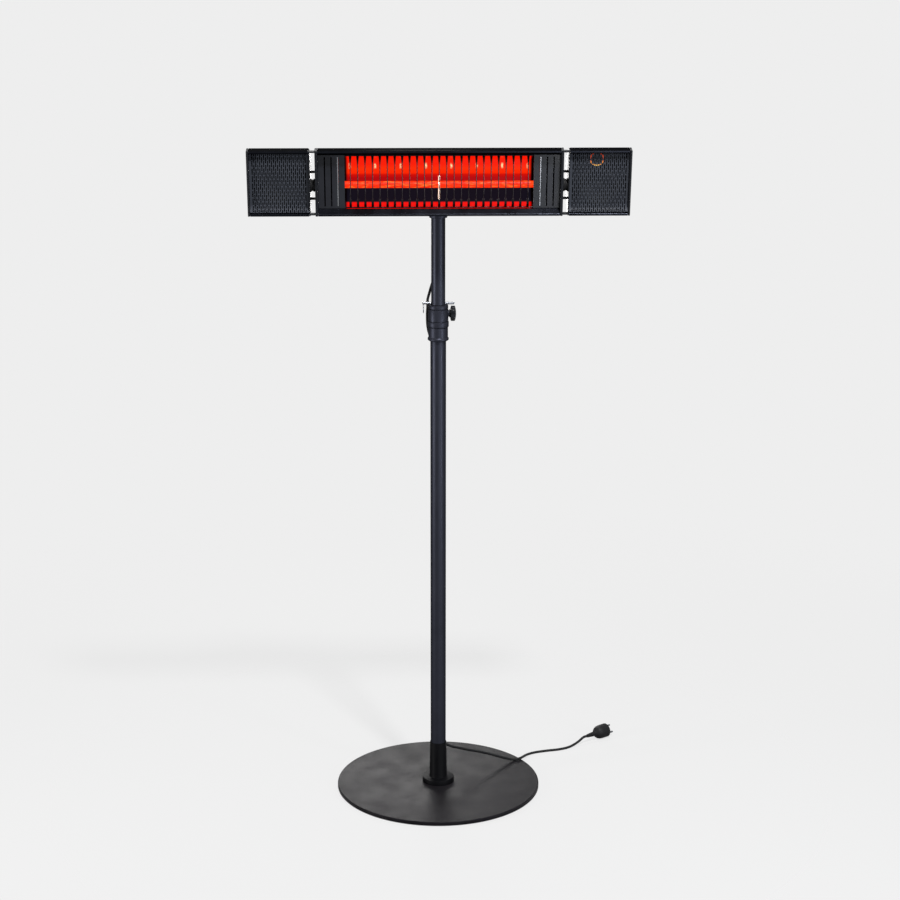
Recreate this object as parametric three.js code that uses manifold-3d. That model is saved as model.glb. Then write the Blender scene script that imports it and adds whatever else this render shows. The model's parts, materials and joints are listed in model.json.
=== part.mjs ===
// Infrared patio heater on a telescopic mast, with a loudspeaker module at each end of the heater.
// Millimetres, +Z up, floor at z = 0, mast on the Z axis, and the heater faces -Y.
import * as THREE from "three";
import { mergeVertices } from "three/addons/utils/BufferGeometryUtils.js";
import Module from "manifold-3d";

const wasm = await Module();
wasm.setup();

// ---------- clearances ----------
const SEAT_GAP = 0.3; // between pieces that rest on, or are fixed in, each other
const RUN_GAP = 0.3; // around anything that turns or slides

// ---------- base ----------
const BASE_RADIUS = 254;
const BASE_THICKNESS = 10.2;
const BASE_EDGE_ROUND = 2;
const FLOOR_RING_HEIGHT = 1.5;
const FLOOR_RING_WIDTH = 14;
const FLOOR_RING_INSET = 8; // from the rim of the plate
const FLANGE_RADIUS = 39.5;
const FLANGE_HEIGHT = 12.7;
const SOCKET_HEIGHT = 106;
const SOCKET_WALL = 2.7; // at its foot
const SOCKET_LIP_WALL = 1.3; // at its top
const BASE_BOLT_RADIUS = 5;
const BASE_BOLT_HEAD_RADIUS = 9;
const BASE_BOLT_HEAD_HEIGHT = 5;
const TUBE_INSERT_HEIGHT = 45;

// ---------- mast ----------
const LOWER_TUBE_OD = 38;
const LOWER_TUBE_LENGTH = 1185;
const UPPER_TUBE_OD = 33.7;
const TUBE_WALL = 1.5;
const MAST_TRAVEL = 450;
const MAST_OVERLAP = 140; // length of tube still inside the other one at full height
const GLIDE_FLANGE = 12;
const GLIDE_SPIGOT = 26;

// ---------- clamp collar ----------
const SLEEVE_HEIGHT = 34;
const SLEEVE_WALL = 4.2;
const SLEEVE_FLARE = 1.8; // how far the bottom band stands out
const SLEEVE_BAND = 7;
const COLLAR_GRIP = 13; // depth of tube inside the collar body
const COLLAR_HEIGHT = 43.4;
const COLLAR_RADIUS = 24.4;
const COLLAR_BAND_HEIGHT = 13.5;
const COLLAR_BAND_RISE = 1; // how far the band at its foot stands out
const RIM_HEIGHT = 9.7;
const RIM_RADIUS = 24;
const CLAMP_HEIGHT = 32; // of the clamp knob's axis above the foot of the collar body
const CLAMP_BOSS_RADIUS = 8;
const CLAMP_BOSS_REACH = 1.6; // of the boss past the collar
const KNOB_RADIUS = 16.8;
const KNOB_LOBE = 1.9;
const KNOB_LOBES = 6;
const KNOB_LENGTH = 16.6;
const KNOB_HUB_RADIUS = 10;
const KNOB_HUB_LENGTH = 2.6;
const KNOB_DOME = 4.6; // how far its rounded end stands out
const STUD_RADIUS = 3;
const PIN_RADIUS = 3;
const PIN_LENGTH = 77.5;
const PIN_OFFSET = 0.75; // of the pin's middle past the mast's axis
const PIN_HOLE_PITCH = 150;
const RING_RADIUS = 11.5;
const RING_WIRE = 1.2;
const RING_FROM_END = 2.6;

// ---------- tilt joint ----------
const YOKE_WALL = 4.5;
const YOKE_GRIP = 21;
const YOKE_CAP = 7;
const YOKE_RISE = 54; // from the top of the yoke's cap to the tilt axis
const EAR_THICKNESS = 4;
const EAR_HALF_WIDTH = 14;
const PIVOT_RADIUS = 4;
const EYE_RADIUS = 12.5;
const EYE_WIDTH = 29.4;
const BOLT_HEAD_RADIUS = 7;
const BOLT_HEAD_HEIGHT = 4.5;
const TILT_ANGLE = 10; // degrees below level, as stored
const HEAD_RISE = 40; // of the heater's middle above the tilt axis
const HEAD_REACH = 45; // from the tilt axis to the back of the housing
const BRACKET_PLATE = 4;
const BRACKET_HALF_WIDTH = 32;

// ---------- heater section, seen from the end ----------
const FACE_HALF = 78;
const SECTION_DEPTH = 88;
const REAR_HALF = 36;
const TOP_FLAT = 25;
const HOUSING_WALL = 2.4;
const LIP_HEIGHT = 5;
const BEZEL_DEPTH = 14;
const BEZEL_RISE = 9;
const BEZEL_LAND = 2;
const WING_BEZEL_DEPTH = 7;
const WING_BEZEL_RISE = 4;

// ---------- heater, along its length ----------
const UNIT_LENGTH = 570;
const CAP_THICKNESS = 6;
const LAMP_ROOM = 434; // clear length between the end plates
const PLATE_THICKNESS = 1.5;
const PLATE_SLOTS = 3;
const PLATE_SLOT_WIDTH = 3;
const PLATE_SLOT_HEIGHT = 118;
const LAMP_RADIUS = 8;
const LAMP_WALL = 1.2;
const LAMP_LENGTH = 440;
const LAMP_DEPTH = 34;
const LAMP_DROP = 12; // below the middle of the section
const FILAMENT_RADIUS = 3.2;
const LAMP_CAP_LENGTH = 24;
const REFLECTOR_WALL = 1.2;
const REFLECTOR_CLEAR = 3; // between the reflector and the housing
const HOLDER_THICKNESS = 2;
const SUPPORT_WIDTH = 4;
const SUPPORT_WALL = 1.5;
const SUPPORT_EARS = 11; // of the strap above its loop
const WIRE_PITCH = 17;
const WIRE_RADIUS = 1.1;
const WIRE_DEPTH = 11;
const GUARD_ROD_RADIUS = 1.6;

// ---------- loudspeaker modules ----------
const WING_GAP = 11.5;
const WING_LENGTH = 144.5;
const INNER_PLATE = 2.5;
const OUTER_CAP = 5;
const GRILLE_WALL = 1.2;
const GRILLE_BEND_START = 54; // below the middle
const GRILLE_BEND_RADIUS = 18;
const SLOT_PITCH_X = 9;
const SLOT_PITCH_Z = 18;
const SLOT_WIDTH = 4;
const SLOT_HEIGHT = 13;
const SPEAKER_RADIUS = 46;
const SPEAKER_DROP = 15; // of the driver below the middle, clear of the status ring
const SPEAKER_DEPTH = 44;
const MAGNET_RADIUS = 26;
const BAFFLE_DEPTH = 20;
const BAFFLE_THICKNESS = 3;
const STATUS_RING_RADIUS = 15;
const STATUS_RING_WIRE = 1.6;
const STATUS_RING_RISE = 53;
const TAB_HEIGHT = 3;
const PEG_RADIUS = 3;
const PEG_SPREAD = 32;
const BRIDGE_DROP = 9; // of the pegs' middle below the middle of the section
const BRIDGE_DEPTH = 20;

// ---------- junction box on the back ----------
const BOX_LEFT = -152;
const BOX_LENGTH = 104;
const BOX_DEPTH = 34;
const BOX_HALF_HEIGHT = 31;
const BOX_WALL = 2.5;
const LID_THICKNESS = 2.5;
const SWITCH_WIDTH = 12;
const SWITCH_HEIGHT = 19;
const SWITCH_ANGLE = 8;
const SWITCH_X = -118;
const GLAND_X = -62;
const GLAND_RADIUS = 8.5;
const GLAND_LENGTH = 22;

// ---------- mains lead ----------
const CORD_DIAMETER = 6.5;
const CLIP_PAD = 2;
const CLIP_WALL = 2;
const CLIP_HEIGHT = 10;
const PLUG_RADIUS = 18.4;
const PLUG_LENGTH = 40;
const RELIEF_LENGTH = 30;
const PLUG_PIN_RADIUS = 2.4;
const PLUG_PIN_LENGTH = 19;
const PLUG_PIN_SPREAD = 19;

// ---------- heights and radii that follow ----------
const LOWER_R = LOWER_TUBE_OD / 2;
const UPPER_R = UPPER_TUBE_OD / 2;
const CORD_R = CORD_DIAMETER / 2;
const PLATE_FOOT = FLOOR_RING_HEIGHT + SEAT_GAP;
const PLATE_TOP = PLATE_FOOT + BASE_THICKNESS;
const SOCKET_FOOT = PLATE_TOP + SEAT_GAP;
const SOCKET_R = LOWER_R + SEAT_GAP + SOCKET_WALL;
const TUBE_FOOT = SOCKET_FOOT;
const TUBE_TOP = TUBE_FOOT + LOWER_TUBE_LENGTH;
const COLLAR_FOOT = TUBE_TOP - COLLAR_GRIP;
const COLLAR_TOP = COLLAR_FOOT + COLLAR_HEIGHT;
const RIM_TOP = COLLAR_TOP + SEAT_GAP + RIM_HEIGHT;
const CLAMP_Z = COLLAR_FOOT + CLAMP_HEIGHT;
const KNOB_FACE = COLLAR_RADIUS + CLAMP_BOSS_REACH + RUN_GAP;
const PIN_Z = RIM_TOP + SEAT_GAP + PIN_RADIUS;
const MAST_FOOT = TUBE_TOP - MAST_TRAVEL - MAST_OVERLAP;
const MAST_BORE = UPPER_R - TUBE_WALL;
const YOKE_FOOT = 1447;
const MAST_TOP = YOKE_FOOT + YOKE_GRIP;
const YOKE_TOP = MAST_TOP + SEAT_GAP + YOKE_CAP;
const PIVOT_Z = YOKE_TOP + YOKE_RISE;
const EAR_INSIDE = EYE_WIDTH / 2 + RUN_GAP;
const EAR_OUTSIDE = EAR_INSIDE + EAR_THICKNESS;
const HALF_UNIT = UNIT_LENGTH / 2;
const HALF_BODY = HALF_UNIT - CAP_THICKNESS - SEAT_GAP;
const WING_START = HALF_UNIT + WING_GAP;
const WING_BODY_START = WING_START + INNER_PLATE + SEAT_GAP;
const WING_END = WING_START + WING_LENGTH;
const WING_BODY_END = WING_END - OUTER_CAP - SEAT_GAP;
const WING_MIDDLE = (WING_BODY_START + WING_BODY_END) / 2;
const UPPER_CORD_Y = UPPER_R + SEAT_GAP + CLIP_PAD + SEAT_GAP + CORD_R;
const LOWER_CORD_Y = LOWER_R + SEAT_GAP + CLIP_PAD + SEAT_GAP + CORD_R;

// ---------- finishes ----------
const finish = (color, roughness, metalness = 0, extra = {}) =>
  new THREE.MeshStandardMaterial({ color, roughness, metalness, ...extra });
const FINISH = {
  baseCoat: () => finish(0x2b2c2e, 0.62, 0.2),
  tubeCoat: () => finish(0x26272a, 0.42, 0.3),
  blackPlastic: () => finish(0x17181a, 0.5),
  housingCoat: () => finish(0x141517, 0.38, 0.35),
  brightSteel: () => finish(0xb9bcc0, 0.28, 0.95),
  aluminium: () => finish(0xd0d2d4, 0.16, 1),
  quartz: () => finish(0xd8402a, 0.1, 0, { transparent: true, opacity: 0.5 }),
  ceramic: () => finish(0xe6e0d4, 0.7),
  glow: () => finish(0xff5a1e, 0.5, 0, { emissive: 0xff3a10 }),
  amber: () => finish(0xffb347, 0.4, 0, { emissive: 0xe08a20 }),
  rubber: () => finish(0x101010, 0.85),
  board: () => finish(0x1d5a34, 0.6),
};

// ---------- solids ----------
function toSolid(geometry) {
  const bare = geometry.index ? geometry.toNonIndexed() : geometry.clone();
  bare.deleteAttribute("normal");
  bare.deleteAttribute("uv");
  const merged = mergeVertices(bare, 1e-3);
  const triVerts = new Uint32Array(merged.index.array);
  const vertProperties = merged.attributes.position.array;
  const solid = new wasm.Manifold(new wasm.Mesh({ numProp: 3, vertProperties, triVerts }));
  if (solid.volume() >= 0) return solid;
  for (let i = 0; i < triVerts.length; i += 3) {
    [triVerts[i + 1], triVerts[i + 2]] = [triVerts[i + 2], triVerts[i + 1]];
  }
  return new wasm.Manifold(new wasm.Mesh({ numProp: 3, vertProperties, triVerts }));
}

function toGeometry(solid) {
  const mesh = solid.getMesh();
  const geometry = new THREE.BufferGeometry();
  geometry.setAttribute("position", new THREE.BufferAttribute(mesh.vertProperties, 3));
  geometry.setIndex(new THREE.BufferAttribute(mesh.triVerts, 1));
  geometry.computeVertexNormals();
  return geometry;
}

const join = (...pieces) => toGeometry(pieces.map(toSolid).reduce((a, b) => a.add(b)));
const cut = (body, ...tools) =>
  toGeometry(tools.map(toSolid).reduce((a, b) => a.subtract(b), toSolid(body)));
const common = (a, b) => toGeometry(toSolid(a).intersect(toSolid(b)));

function add(group, name, geometry, material) {
  const mesh = new THREE.Mesh(toGeometry(toSolid(geometry)), material);
  mesh.name = name;
  group.add(mesh);
  return mesh;
}

// ---------- forms ----------
const moved = (geometry, x, y, z) => geometry.translate(x, y, z);
const mirroredX = (geometry) => geometry.applyMatrix4(new THREE.Matrix4().makeScale(-1, 1, 1));

function box(x0, x1, y0, y1, z0, z1) {
  const geometry = new THREE.BoxGeometry(x1 - x0, y1 - y0, z1 - z0);
  return moved(geometry, (x0 + x1) / 2, (y0 + y1) / 2, (z0 + z1) / 2);
}

// A closed profile of [radius, height] points turned about the Z axis.
function turned(profile, segments = 32) {
  const points = [...profile, profile[0]].map(([r, z]) => new THREE.Vector2(r, z));
  return new THREE.LatheGeometry(points, segments).rotateX(Math.PI / 2);
}

const tube = (outer, inner, z0, z1, segments = 32) =>
  turned([[inner, z0], [outer, z0], [outer, z1], [inner, z1]], segments);

const disc = (radius, z0, z1, segments = 24) =>
  turned([[0, z0], [radius, z0], [radius, z1], [0, z1]], segments);

// Turns a solid made along Z so that it lies along X or Y.
const alongX = (geometry) => geometry.rotateY(Math.PI / 2);
const alongY = (geometry) => geometry.rotateX(-Math.PI / 2);

const outline = (points) => new THREE.Shape(points.map(([a, b]) => new THREE.Vector2(a, b)));

// Extrudes an outline of [depth, height] points from x0 to x1.
function alongLength(shape, x0, x1, bevel = 0, curveSegments = 8) {
  const geometry = new THREE.ExtrudeGeometry(shape, {
    depth: x1 - x0 - 2 * bevel,
    bevelEnabled: bevel > 0,
    bevelThickness: bevel,
    bevelSize: bevel,
    bevelOffset: -bevel,
    bevelSegments: 2,
    curveSegments,
  });
  const axes = new THREE.Matrix4().makeBasis(
    new THREE.Vector3(0, 1, 0),
    new THREE.Vector3(0, 0, 1),
    new THREE.Vector3(1, 0, 0),
  );
  return geometry.applyMatrix4(axes).translate(x0 + bevel, 0, 0);
}

// A polyline moved sideways by a distance, to its right, with mitred corners.
function offsetLine(points, distance) {
  const directions = points.slice(1).map(([a, b], i) => {
    const [c, d] = points[i];
    const length = Math.hypot(a - c, b - d);
    return [(a - c) / length, (b - d) / length];
  });
  return points.map(([a, b], i) => {
    const before = directions[Math.max(i - 1, 0)];
    const after = directions[Math.min(i, directions.length - 1)];
    const normal = [before[1] + after[1], -before[0] - after[0]];
    const size = Math.hypot(...normal);
    const unit = [normal[0] / size, normal[1] / size];
    const reach = distance / (unit[0] * after[1] - unit[1] * after[0]);
    return [a + unit[0] * reach, b + unit[1] * reach];
  });
}

// A bent sheet: the polyline and the same line one wall to its right.
const sheet = (points, wall) => outline([...points, ...offsetLine(points, wall).reverse()]);

function circle(radius, sides) {
  return outline(
    Array.from({ length: sides }, (_, i) => {
      const angle = ((i + 0.5) * 2 * Math.PI) / sides;
      return [radius * Math.cos(angle), radius * Math.sin(angle)];
    }),
  );
}

// A round bar or cord along a smooth curve through the points.
function bar(points, radius, steps, sides = 8) {
  const stops = points.map((p) => new THREE.Vector3(...p));
  const curve = new THREE.CatmullRomCurve3(stops, false, "centripetal");
  return new THREE.ExtrudeGeometry(circle(radius, sides), { steps, extrudePath: curve });
}

// A hand knob along Z: a narrow hub, lobes round its rim and a rounded end, with a blind hole for the stud.
function lobedKnob(studRadius, studDepth) {
  const count = 36;
  const edge = Array.from({ length: count }, (_, i) => {
    const angle = (i * 2 * Math.PI) / count;
    const r = KNOB_RADIUS + KNOB_LOBE * Math.cos(KNOB_LOBES * angle);
    return [r * Math.cos(angle), r * Math.sin(angle)];
  });
  const lobes = new THREE.ExtrudeGeometry(outline(edge), { depth: KNOB_LENGTH, bevelEnabled: false });
  const reach = KNOB_RADIUS + KNOB_LOBE;
  const steps = 5;
  const dome = Array.from({ length: steps + 1 }, (_, i) => {
    const angle = (i * Math.PI) / 2 / steps;
    return [reach * Math.cos(angle), KNOB_LENGTH - KNOB_DOME * (1 - Math.sin(angle))];
  });
  const side = turned([
    [0, 0],
    [KNOB_HUB_RADIUS, 0],
    [KNOB_HUB_RADIUS, KNOB_HUB_LENGTH],
    [reach - 2, KNOB_HUB_LENGTH + 0.6],
    [reach, KNOB_HUB_LENGTH + 2.4],
    ...dome,
  ], 36);
  return cut(common(lobes, side), disc(studRadius, -1, studDepth, 24));
}

// ---------- base ----------
function makeBase(group) {
  const ringOuter = BASE_RADIUS - FLOOR_RING_INSET;
  const floorRing = tube(ringOuter, ringOuter - FLOOR_RING_WIDTH, 0, FLOOR_RING_HEIGHT, 48);
  add(group, "floor_ring", floorRing, FINISH.rubber());

  const boltHead = BASE_BOLT_HEAD_RADIUS + 2;
  const seat = PLATE_FOOT + BASE_BOLT_HEAD_HEIGHT + SEAT_GAP;
  const edge = BASE_EDGE_ROUND;
  const plate = turned(
    [
      [boltHead, PLATE_FOOT],
      [BASE_RADIUS - edge / 2, PLATE_FOOT],
      [BASE_RADIUS, PLATE_FOOT + edge / 2],
      [BASE_RADIUS, PLATE_TOP - edge],
      [BASE_RADIUS - edge, PLATE_TOP],
      [BASE_BOLT_RADIUS + SEAT_GAP, PLATE_TOP],
      [BASE_BOLT_RADIUS + SEAT_GAP, seat],
      [boltHead, seat],
    ],
    72,
  );
  add(group, "base_plate", plate, FINISH.baseCoat());

  const bore = LOWER_R + SEAT_GAP;
  const socket = turned([
    [bore, SOCKET_FOOT],
    [FLANGE_RADIUS, SOCKET_FOOT],
    [FLANGE_RADIUS, SOCKET_FOOT + FLANGE_HEIGHT - 2],
    [FLANGE_RADIUS - 2, SOCKET_FOOT + FLANGE_HEIGHT],
    [SOCKET_R + 2, SOCKET_FOOT + FLANGE_HEIGHT],
    [SOCKET_R, SOCKET_FOOT + FLANGE_HEIGHT + 2],
    [bore + SOCKET_LIP_WALL, SOCKET_FOOT + SOCKET_HEIGHT - 1],
    [bore + SOCKET_LIP_WALL - 0.8, SOCKET_FOOT + SOCKET_HEIGHT],
    [bore, SOCKET_FOOT + SOCKET_HEIGHT],
  ]);
  add(group, "pole_socket", socket, FINISH.tubeCoat());

  const insertRadius = LOWER_R - TUBE_WALL - SEAT_GAP;
  const insertBore = BASE_BOLT_RADIUS + SEAT_GAP;
  const insert = tube(insertRadius, insertBore, TUBE_FOOT, TUBE_FOOT + TUBE_INSERT_HEIGHT, 24);
  add(group, "tube_insert", insert, FINISH.brightSteel());

  const bolt = turned(
    [
      [0, PLATE_FOOT],
      [BASE_BOLT_HEAD_RADIUS, PLATE_FOOT],
      [BASE_BOLT_HEAD_RADIUS, PLATE_FOOT + BASE_BOLT_HEAD_HEIGHT],
      [BASE_BOLT_RADIUS, PLATE_FOOT + BASE_BOLT_HEAD_HEIGHT],
      [BASE_BOLT_RADIUS, TUBE_FOOT + TUBE_INSERT_HEIGHT - 5],
      [0, TUBE_FOOT + TUBE_INSERT_HEIGHT - 5],
    ],
    24,
  );
  add(group, "base_bolt", bolt, FINISH.brightSteel());

  const pole = tube(LOWER_R, LOWER_R - TUBE_WALL, TUBE_FOOT, TUBE_TOP);
  add(group, "lower_tube", pole, FINISH.tubeCoat());
}

// ---------- clamp collar on top of the lower tube ----------
function makeCollar(group) {
  const tubeBore = LOWER_R + SEAT_GAP;
  const mastBore = UPPER_R + RUN_GAP;
  const sleeveTop = COLLAR_FOOT - SEAT_GAP;
  const sleeveFoot = sleeveTop - SLEEVE_HEIGHT;
  const sleeveRadius = tubeBore + SLEEVE_WALL;
  const sleeve = turned([
    [tubeBore, sleeveFoot],
    [sleeveRadius - 2, sleeveFoot],
    [sleeveRadius + SLEEVE_FLARE, sleeveFoot + 3],
    [sleeveRadius + SLEEVE_FLARE, sleeveFoot + SLEEVE_BAND],
    [sleeveRadius, sleeveFoot + SLEEVE_BAND + 2],
    [sleeveRadius, sleeveTop],
    [tubeBore, sleeveTop],
  ]);
  add(group, "collar_sleeve", sleeve, FINISH.blackPlastic());

  const bandRadius = COLLAR_RADIUS + COLLAR_BAND_RISE;
  const bandTop = COLLAR_FOOT + COLLAR_BAND_HEIGHT;
  const shell = turned([
    [tubeBore, COLLAR_FOOT],
    [bandRadius - 1.2, COLLAR_FOOT],
    [bandRadius, COLLAR_FOOT + 1.2],
    [bandRadius, bandTop - 0.8],
    [COLLAR_RADIUS - 1, bandTop],
    [COLLAR_RADIUS, bandTop + 1.4],
    [COLLAR_RADIUS, COLLAR_TOP - 1],
    [COLLAR_RADIUS - 1, COLLAR_TOP],
    [mastBore, COLLAR_TOP],
    [mastBore, TUBE_TOP + SEAT_GAP],
    [tubeBore, TUBE_TOP + SEAT_GAP],
  ]);
  const bossLength = COLLAR_RADIUS + CLAMP_BOSS_REACH - mastBore - 1;
  const boss = moved(alongX(disc(CLAMP_BOSS_RADIUS, 0, bossLength, 32)), mastBore + 1, 0, CLAMP_Z);
  const studHole = moved(alongX(disc(STUD_RADIUS + RUN_GAP, 0, 2 * COLLAR_RADIUS, 24)), 0, 0, CLAMP_Z);
  const mastRoom = disc(mastBore, TUBE_TOP, COLLAR_TOP + 1, 32);
  add(group, "collar_body", cut(join(shell, boss), studHole, mastRoom), FINISH.blackPlastic());

  const rimFoot = COLLAR_TOP + SEAT_GAP;
  const rim = turned([
    [mastBore, rimFoot],
    [RIM_RADIUS - 1, rimFoot],
    [RIM_RADIUS, rimFoot + 2],
    [RIM_RADIUS, RIM_TOP - 2],
    [RIM_RADIUS - 1.5, RIM_TOP],
    [mastBore, RIM_TOP],
  ]);
  add(group, "collar_rim", rim, FINISH.blackPlastic());
}

// A lobed knob on a stud that presses on the upper tube.
function makeClampKnob(group) {
  const socketDepth = 9;
  const studBore = STUD_RADIUS + SEAT_GAP;
  const knob = alongX(lobedKnob(studBore, socketDepth + SEAT_GAP));
  add(group, "clamp_knob", moved(knob, KNOB_FACE, 0, CLAMP_Z), FINISH.blackPlastic());
  const tip = UPPER_R + RUN_GAP;
  const stud = alongX(disc(STUD_RADIUS, 0, KNOB_FACE + socketDepth - tip, 24));
  add(group, "clamp_stud", moved(stud, tip, 0, CLAMP_Z), FINISH.brightSteel());
}

// ---------- upper tube ----------
function makeGlide(group) {
  const top = MAST_FOOT - RUN_GAP;
  const glide = turned([
    [4, top - GLIDE_FLANGE],
    [LOWER_R - TUBE_WALL - RUN_GAP - 1, top - GLIDE_FLANGE],
    [LOWER_R - TUBE_WALL - RUN_GAP, top - GLIDE_FLANGE + 1],
    [LOWER_R - TUBE_WALL - RUN_GAP, top],
    [MAST_BORE - RUN_GAP, top],
    [MAST_BORE - RUN_GAP, top + GLIDE_SPIGOT - 2],
    [MAST_BORE - RUN_GAP - 2, top + GLIDE_SPIGOT],
    [4, top + GLIDE_SPIGOT],
  ], 24);
  add(group, "glide_plug", glide, FINISH.blackPlastic());
}

function makeMast(group) {
  const pinHoles = [0, 1, 2, 3].map((i) => {
    const hole = alongX(disc(PIN_RADIUS + RUN_GAP, -UPPER_R - 2, UPPER_R + 2, 12));
    return moved(hole, 0, 0, PIN_Z - i * PIN_HOLE_PITCH);
  });
  const upperTube = cut(tube(UPPER_R, MAST_BORE, MAST_FOOT, MAST_TOP), ...pinHoles);
  add(group, "upper_tube", upperTube, FINISH.tubeCoat());
  makeYoke(group);
}

// Socket over the top of the upper tube, with two ears that carry the tilt bolt.
function makeYoke(group) {
  const bore = UPPER_R + SEAT_GAP;
  const outer = bore + YOKE_WALL;
  const socket = turned([
    [bore, YOKE_FOOT],
    [outer - 1, YOKE_FOOT],
    [outer, YOKE_FOOT + 1],
    [outer, YOKE_TOP],
    [0, YOKE_TOP],
    [0, MAST_TOP + SEAT_GAP],
    [bore, MAST_TOP + SEAT_GAP],
  ]);
  const ear = new THREE.Shape();
  ear.moveTo(-EAR_HALF_WIDTH, YOKE_TOP - YOKE_CAP / 2);
  ear.lineTo(EAR_HALF_WIDTH, YOKE_TOP - YOKE_CAP / 2);
  ear.lineTo(EAR_HALF_WIDTH, PIVOT_Z);
  ear.absarc(0, PIVOT_Z, EAR_HALF_WIDTH, 0, Math.PI, false);
  const ears = [-1, 1].map((side) => {
    const inside = side > 0 ? EAR_INSIDE : -EAR_OUTSIDE;
    return alongLength(ear, inside, inside + EAR_THICKNESS, 0, 12);
  });
  const boltHole = moved(
    alongX(disc(PIVOT_RADIUS + SEAT_GAP, -EAR_OUTSIDE - 2, EAR_OUTSIDE + 2, 24)), 0, 0, PIVOT_Z);
  add(group, "mast_yoke", cut(join(socket, ...ears), boltHole), FINISH.tubeCoat());

  const grip = 9;
  const headFace = -EAR_OUTSIDE - SEAT_GAP;
  const head = disc(BOLT_HEAD_RADIUS, headFace - BOLT_HEAD_HEIGHT, headFace, 6);
  const shank = disc(PIVOT_RADIUS, headFace - 1, EAR_OUTSIDE + RUN_GAP + grip, 24);
  add(group, "pivot_bolt", moved(alongX(join(head, shank)), 0, 0, PIVOT_Z), FINISH.brightSteel());
}

function makeTiltKnob(group) {
  const knob = alongX(lobedKnob(PIVOT_RADIUS + RUN_GAP, 9 + SEAT_GAP));
  add(group, "tilt_knob", moved(knob, EAR_OUTSIDE + RUN_GAP, 0, PIVOT_Z), FINISH.blackPlastic());
}

// Steel pin through the upper tube, just above the collar, with a ring to pull it by.
function makePin(group) {
  const left = PIN_OFFSET - PIN_LENGTH / 2;
  const right = PIN_OFFSET + PIN_LENGTH / 2;
  const rod = alongX(
    turned(
      [
        [0, left],
        [PIN_RADIUS - 0.6, left],
        [PIN_RADIUS, left + 0.6],
        [PIN_RADIUS, right - 2],
        [PIN_RADIUS - 1.4, right],
        [0, right],
      ],
      20,
    ),
  );
  const ringHole = alongY(disc(RING_WIRE + 0.6, -PIN_RADIUS - 2, PIN_RADIUS + 2, 16));
  const eye = left + RING_FROM_END;
  const pin = moved(cut(rod, moved(ringHole, eye, 0, 0)), 0, 0, PIN_Z);
  add(group, "locking_pin", pin, FINISH.brightSteel());
  const ring = new THREE.TorusGeometry(RING_RADIUS, RING_WIRE, 6, 24).rotateY(Math.PI / 2);
  add(group, "pull_ring", moved(ring, eye, 0, PIN_Z - RING_RADIUS), FINISH.brightSteel());
}

// ---------- heater ----------
// In the section's own frame, Y is the depth behind the face and Z the height from its middle.
const OUTER_LINE = [
  [0, FACE_HALF],
  [TOP_FLAT, FACE_HALF],
  [SECTION_DEPTH, REAR_HALF],
  [SECTION_DEPTH, -REAR_HALF],
  [TOP_FLAT, -FACE_HALF],
  [0, -FACE_HALF],
];
const INNER_LINE = offsetLine(OUTER_LINE, HOUSING_WALL);
const flipped = (points) => points.map(([a, b]) => [a, -b]).reverse();

// The open channel that both housings are cut from: a wall, and a lip that slopes in to a land.
function channelOutline(bezelDepth, bezelRise) {
  const lip = FACE_HALF - LIP_HEIGHT;
  const land = lip - bezelRise;
  const back = bezelDepth + BEZEL_LAND;
  const topLip = [
    [back, FACE_HALF - HOUSING_WALL],
    [back, land],
    [bezelDepth, land],
    [0, lip],
  ];
  return outline([...OUTER_LINE, ...flipped(topLip), ...INNER_LINE.slice(1, -1).reverse(), ...topLip]);
}

// Both mirrored pieces of a pair, named for the viewer's left and right.
function addPair(group, name, makeRight, material) {
  add(group, name + "_right", makeRight(), material());
  add(group, name + "_left", mirroredX(makeRight()), material());
}

function makeHousing(group) {
  const channel = channelOutline(BEZEL_DEPTH, BEZEL_RISE);
  add(group, "heater_housing", alongLength(channel, -HALF_BODY, HALF_BODY), FINISH.housingCoat());
  const capShape = outline(OUTER_LINE);
  const makeCap = () => alongLength(capShape, HALF_UNIT - CAP_THICKNESS, HALF_UNIT, 1);
  addPair(group, "housing_end_cap", makeCap, FINISH.blackPlastic);
}

// A trough that follows the inside of the housing, a little way in from it.
function reflectorLine() {
  const line = offsetLine(OUTER_LINE, HOUSING_WALL + REFLECTOR_CLEAR);
  const front = BEZEL_DEPTH + BEZEL_LAND + SEAT_GAP + PLATE_THICKNESS + 2 * SEAT_GAP;
  const [topCorner, rearCorner] = [line[1], line[2]];
  const top = [front, topCorner[1]];
  const bend = [topCorner[0] + 4, topCorner[1] - 2.5];
  return [top, bend, rearCorner, ...flipped([top, bend, rearCorner])];
}

function makeReflector(group) {
  const half = HALF_BODY - SEAT_GAP - HOLDER_THICKNESS - SEAT_GAP;
  const line = reflectorLine();
  add(group, "reflector", alongLength(sheet(line, REFLECTOR_WALL), -half, half), FINISH.aluminium());
  const inside = offsetLine(line, REFLECTOR_WALL + SEAT_GAP);
  const holeRadius = LAMP_RADIUS + 1.5 + SEAT_GAP;
  const makeHolder = () => {
    const at = LAMP_LENGTH / 2 + LAMP_CAP_LENGTH / 2;
    const plate = alongLength(outline(inside), at, at + HOLDER_THICKNESS);
    const bore = alongX(disc(holeRadius, at - 2, at + HOLDER_THICKNESS + 2, 32));
    const hole = moved(bore, 0, LAMP_DEPTH, -LAMP_DROP);
    return cut(plate, hole);
  };
  addPair(group, "lamp_holder", makeHolder, FINISH.aluminium);
}

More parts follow.
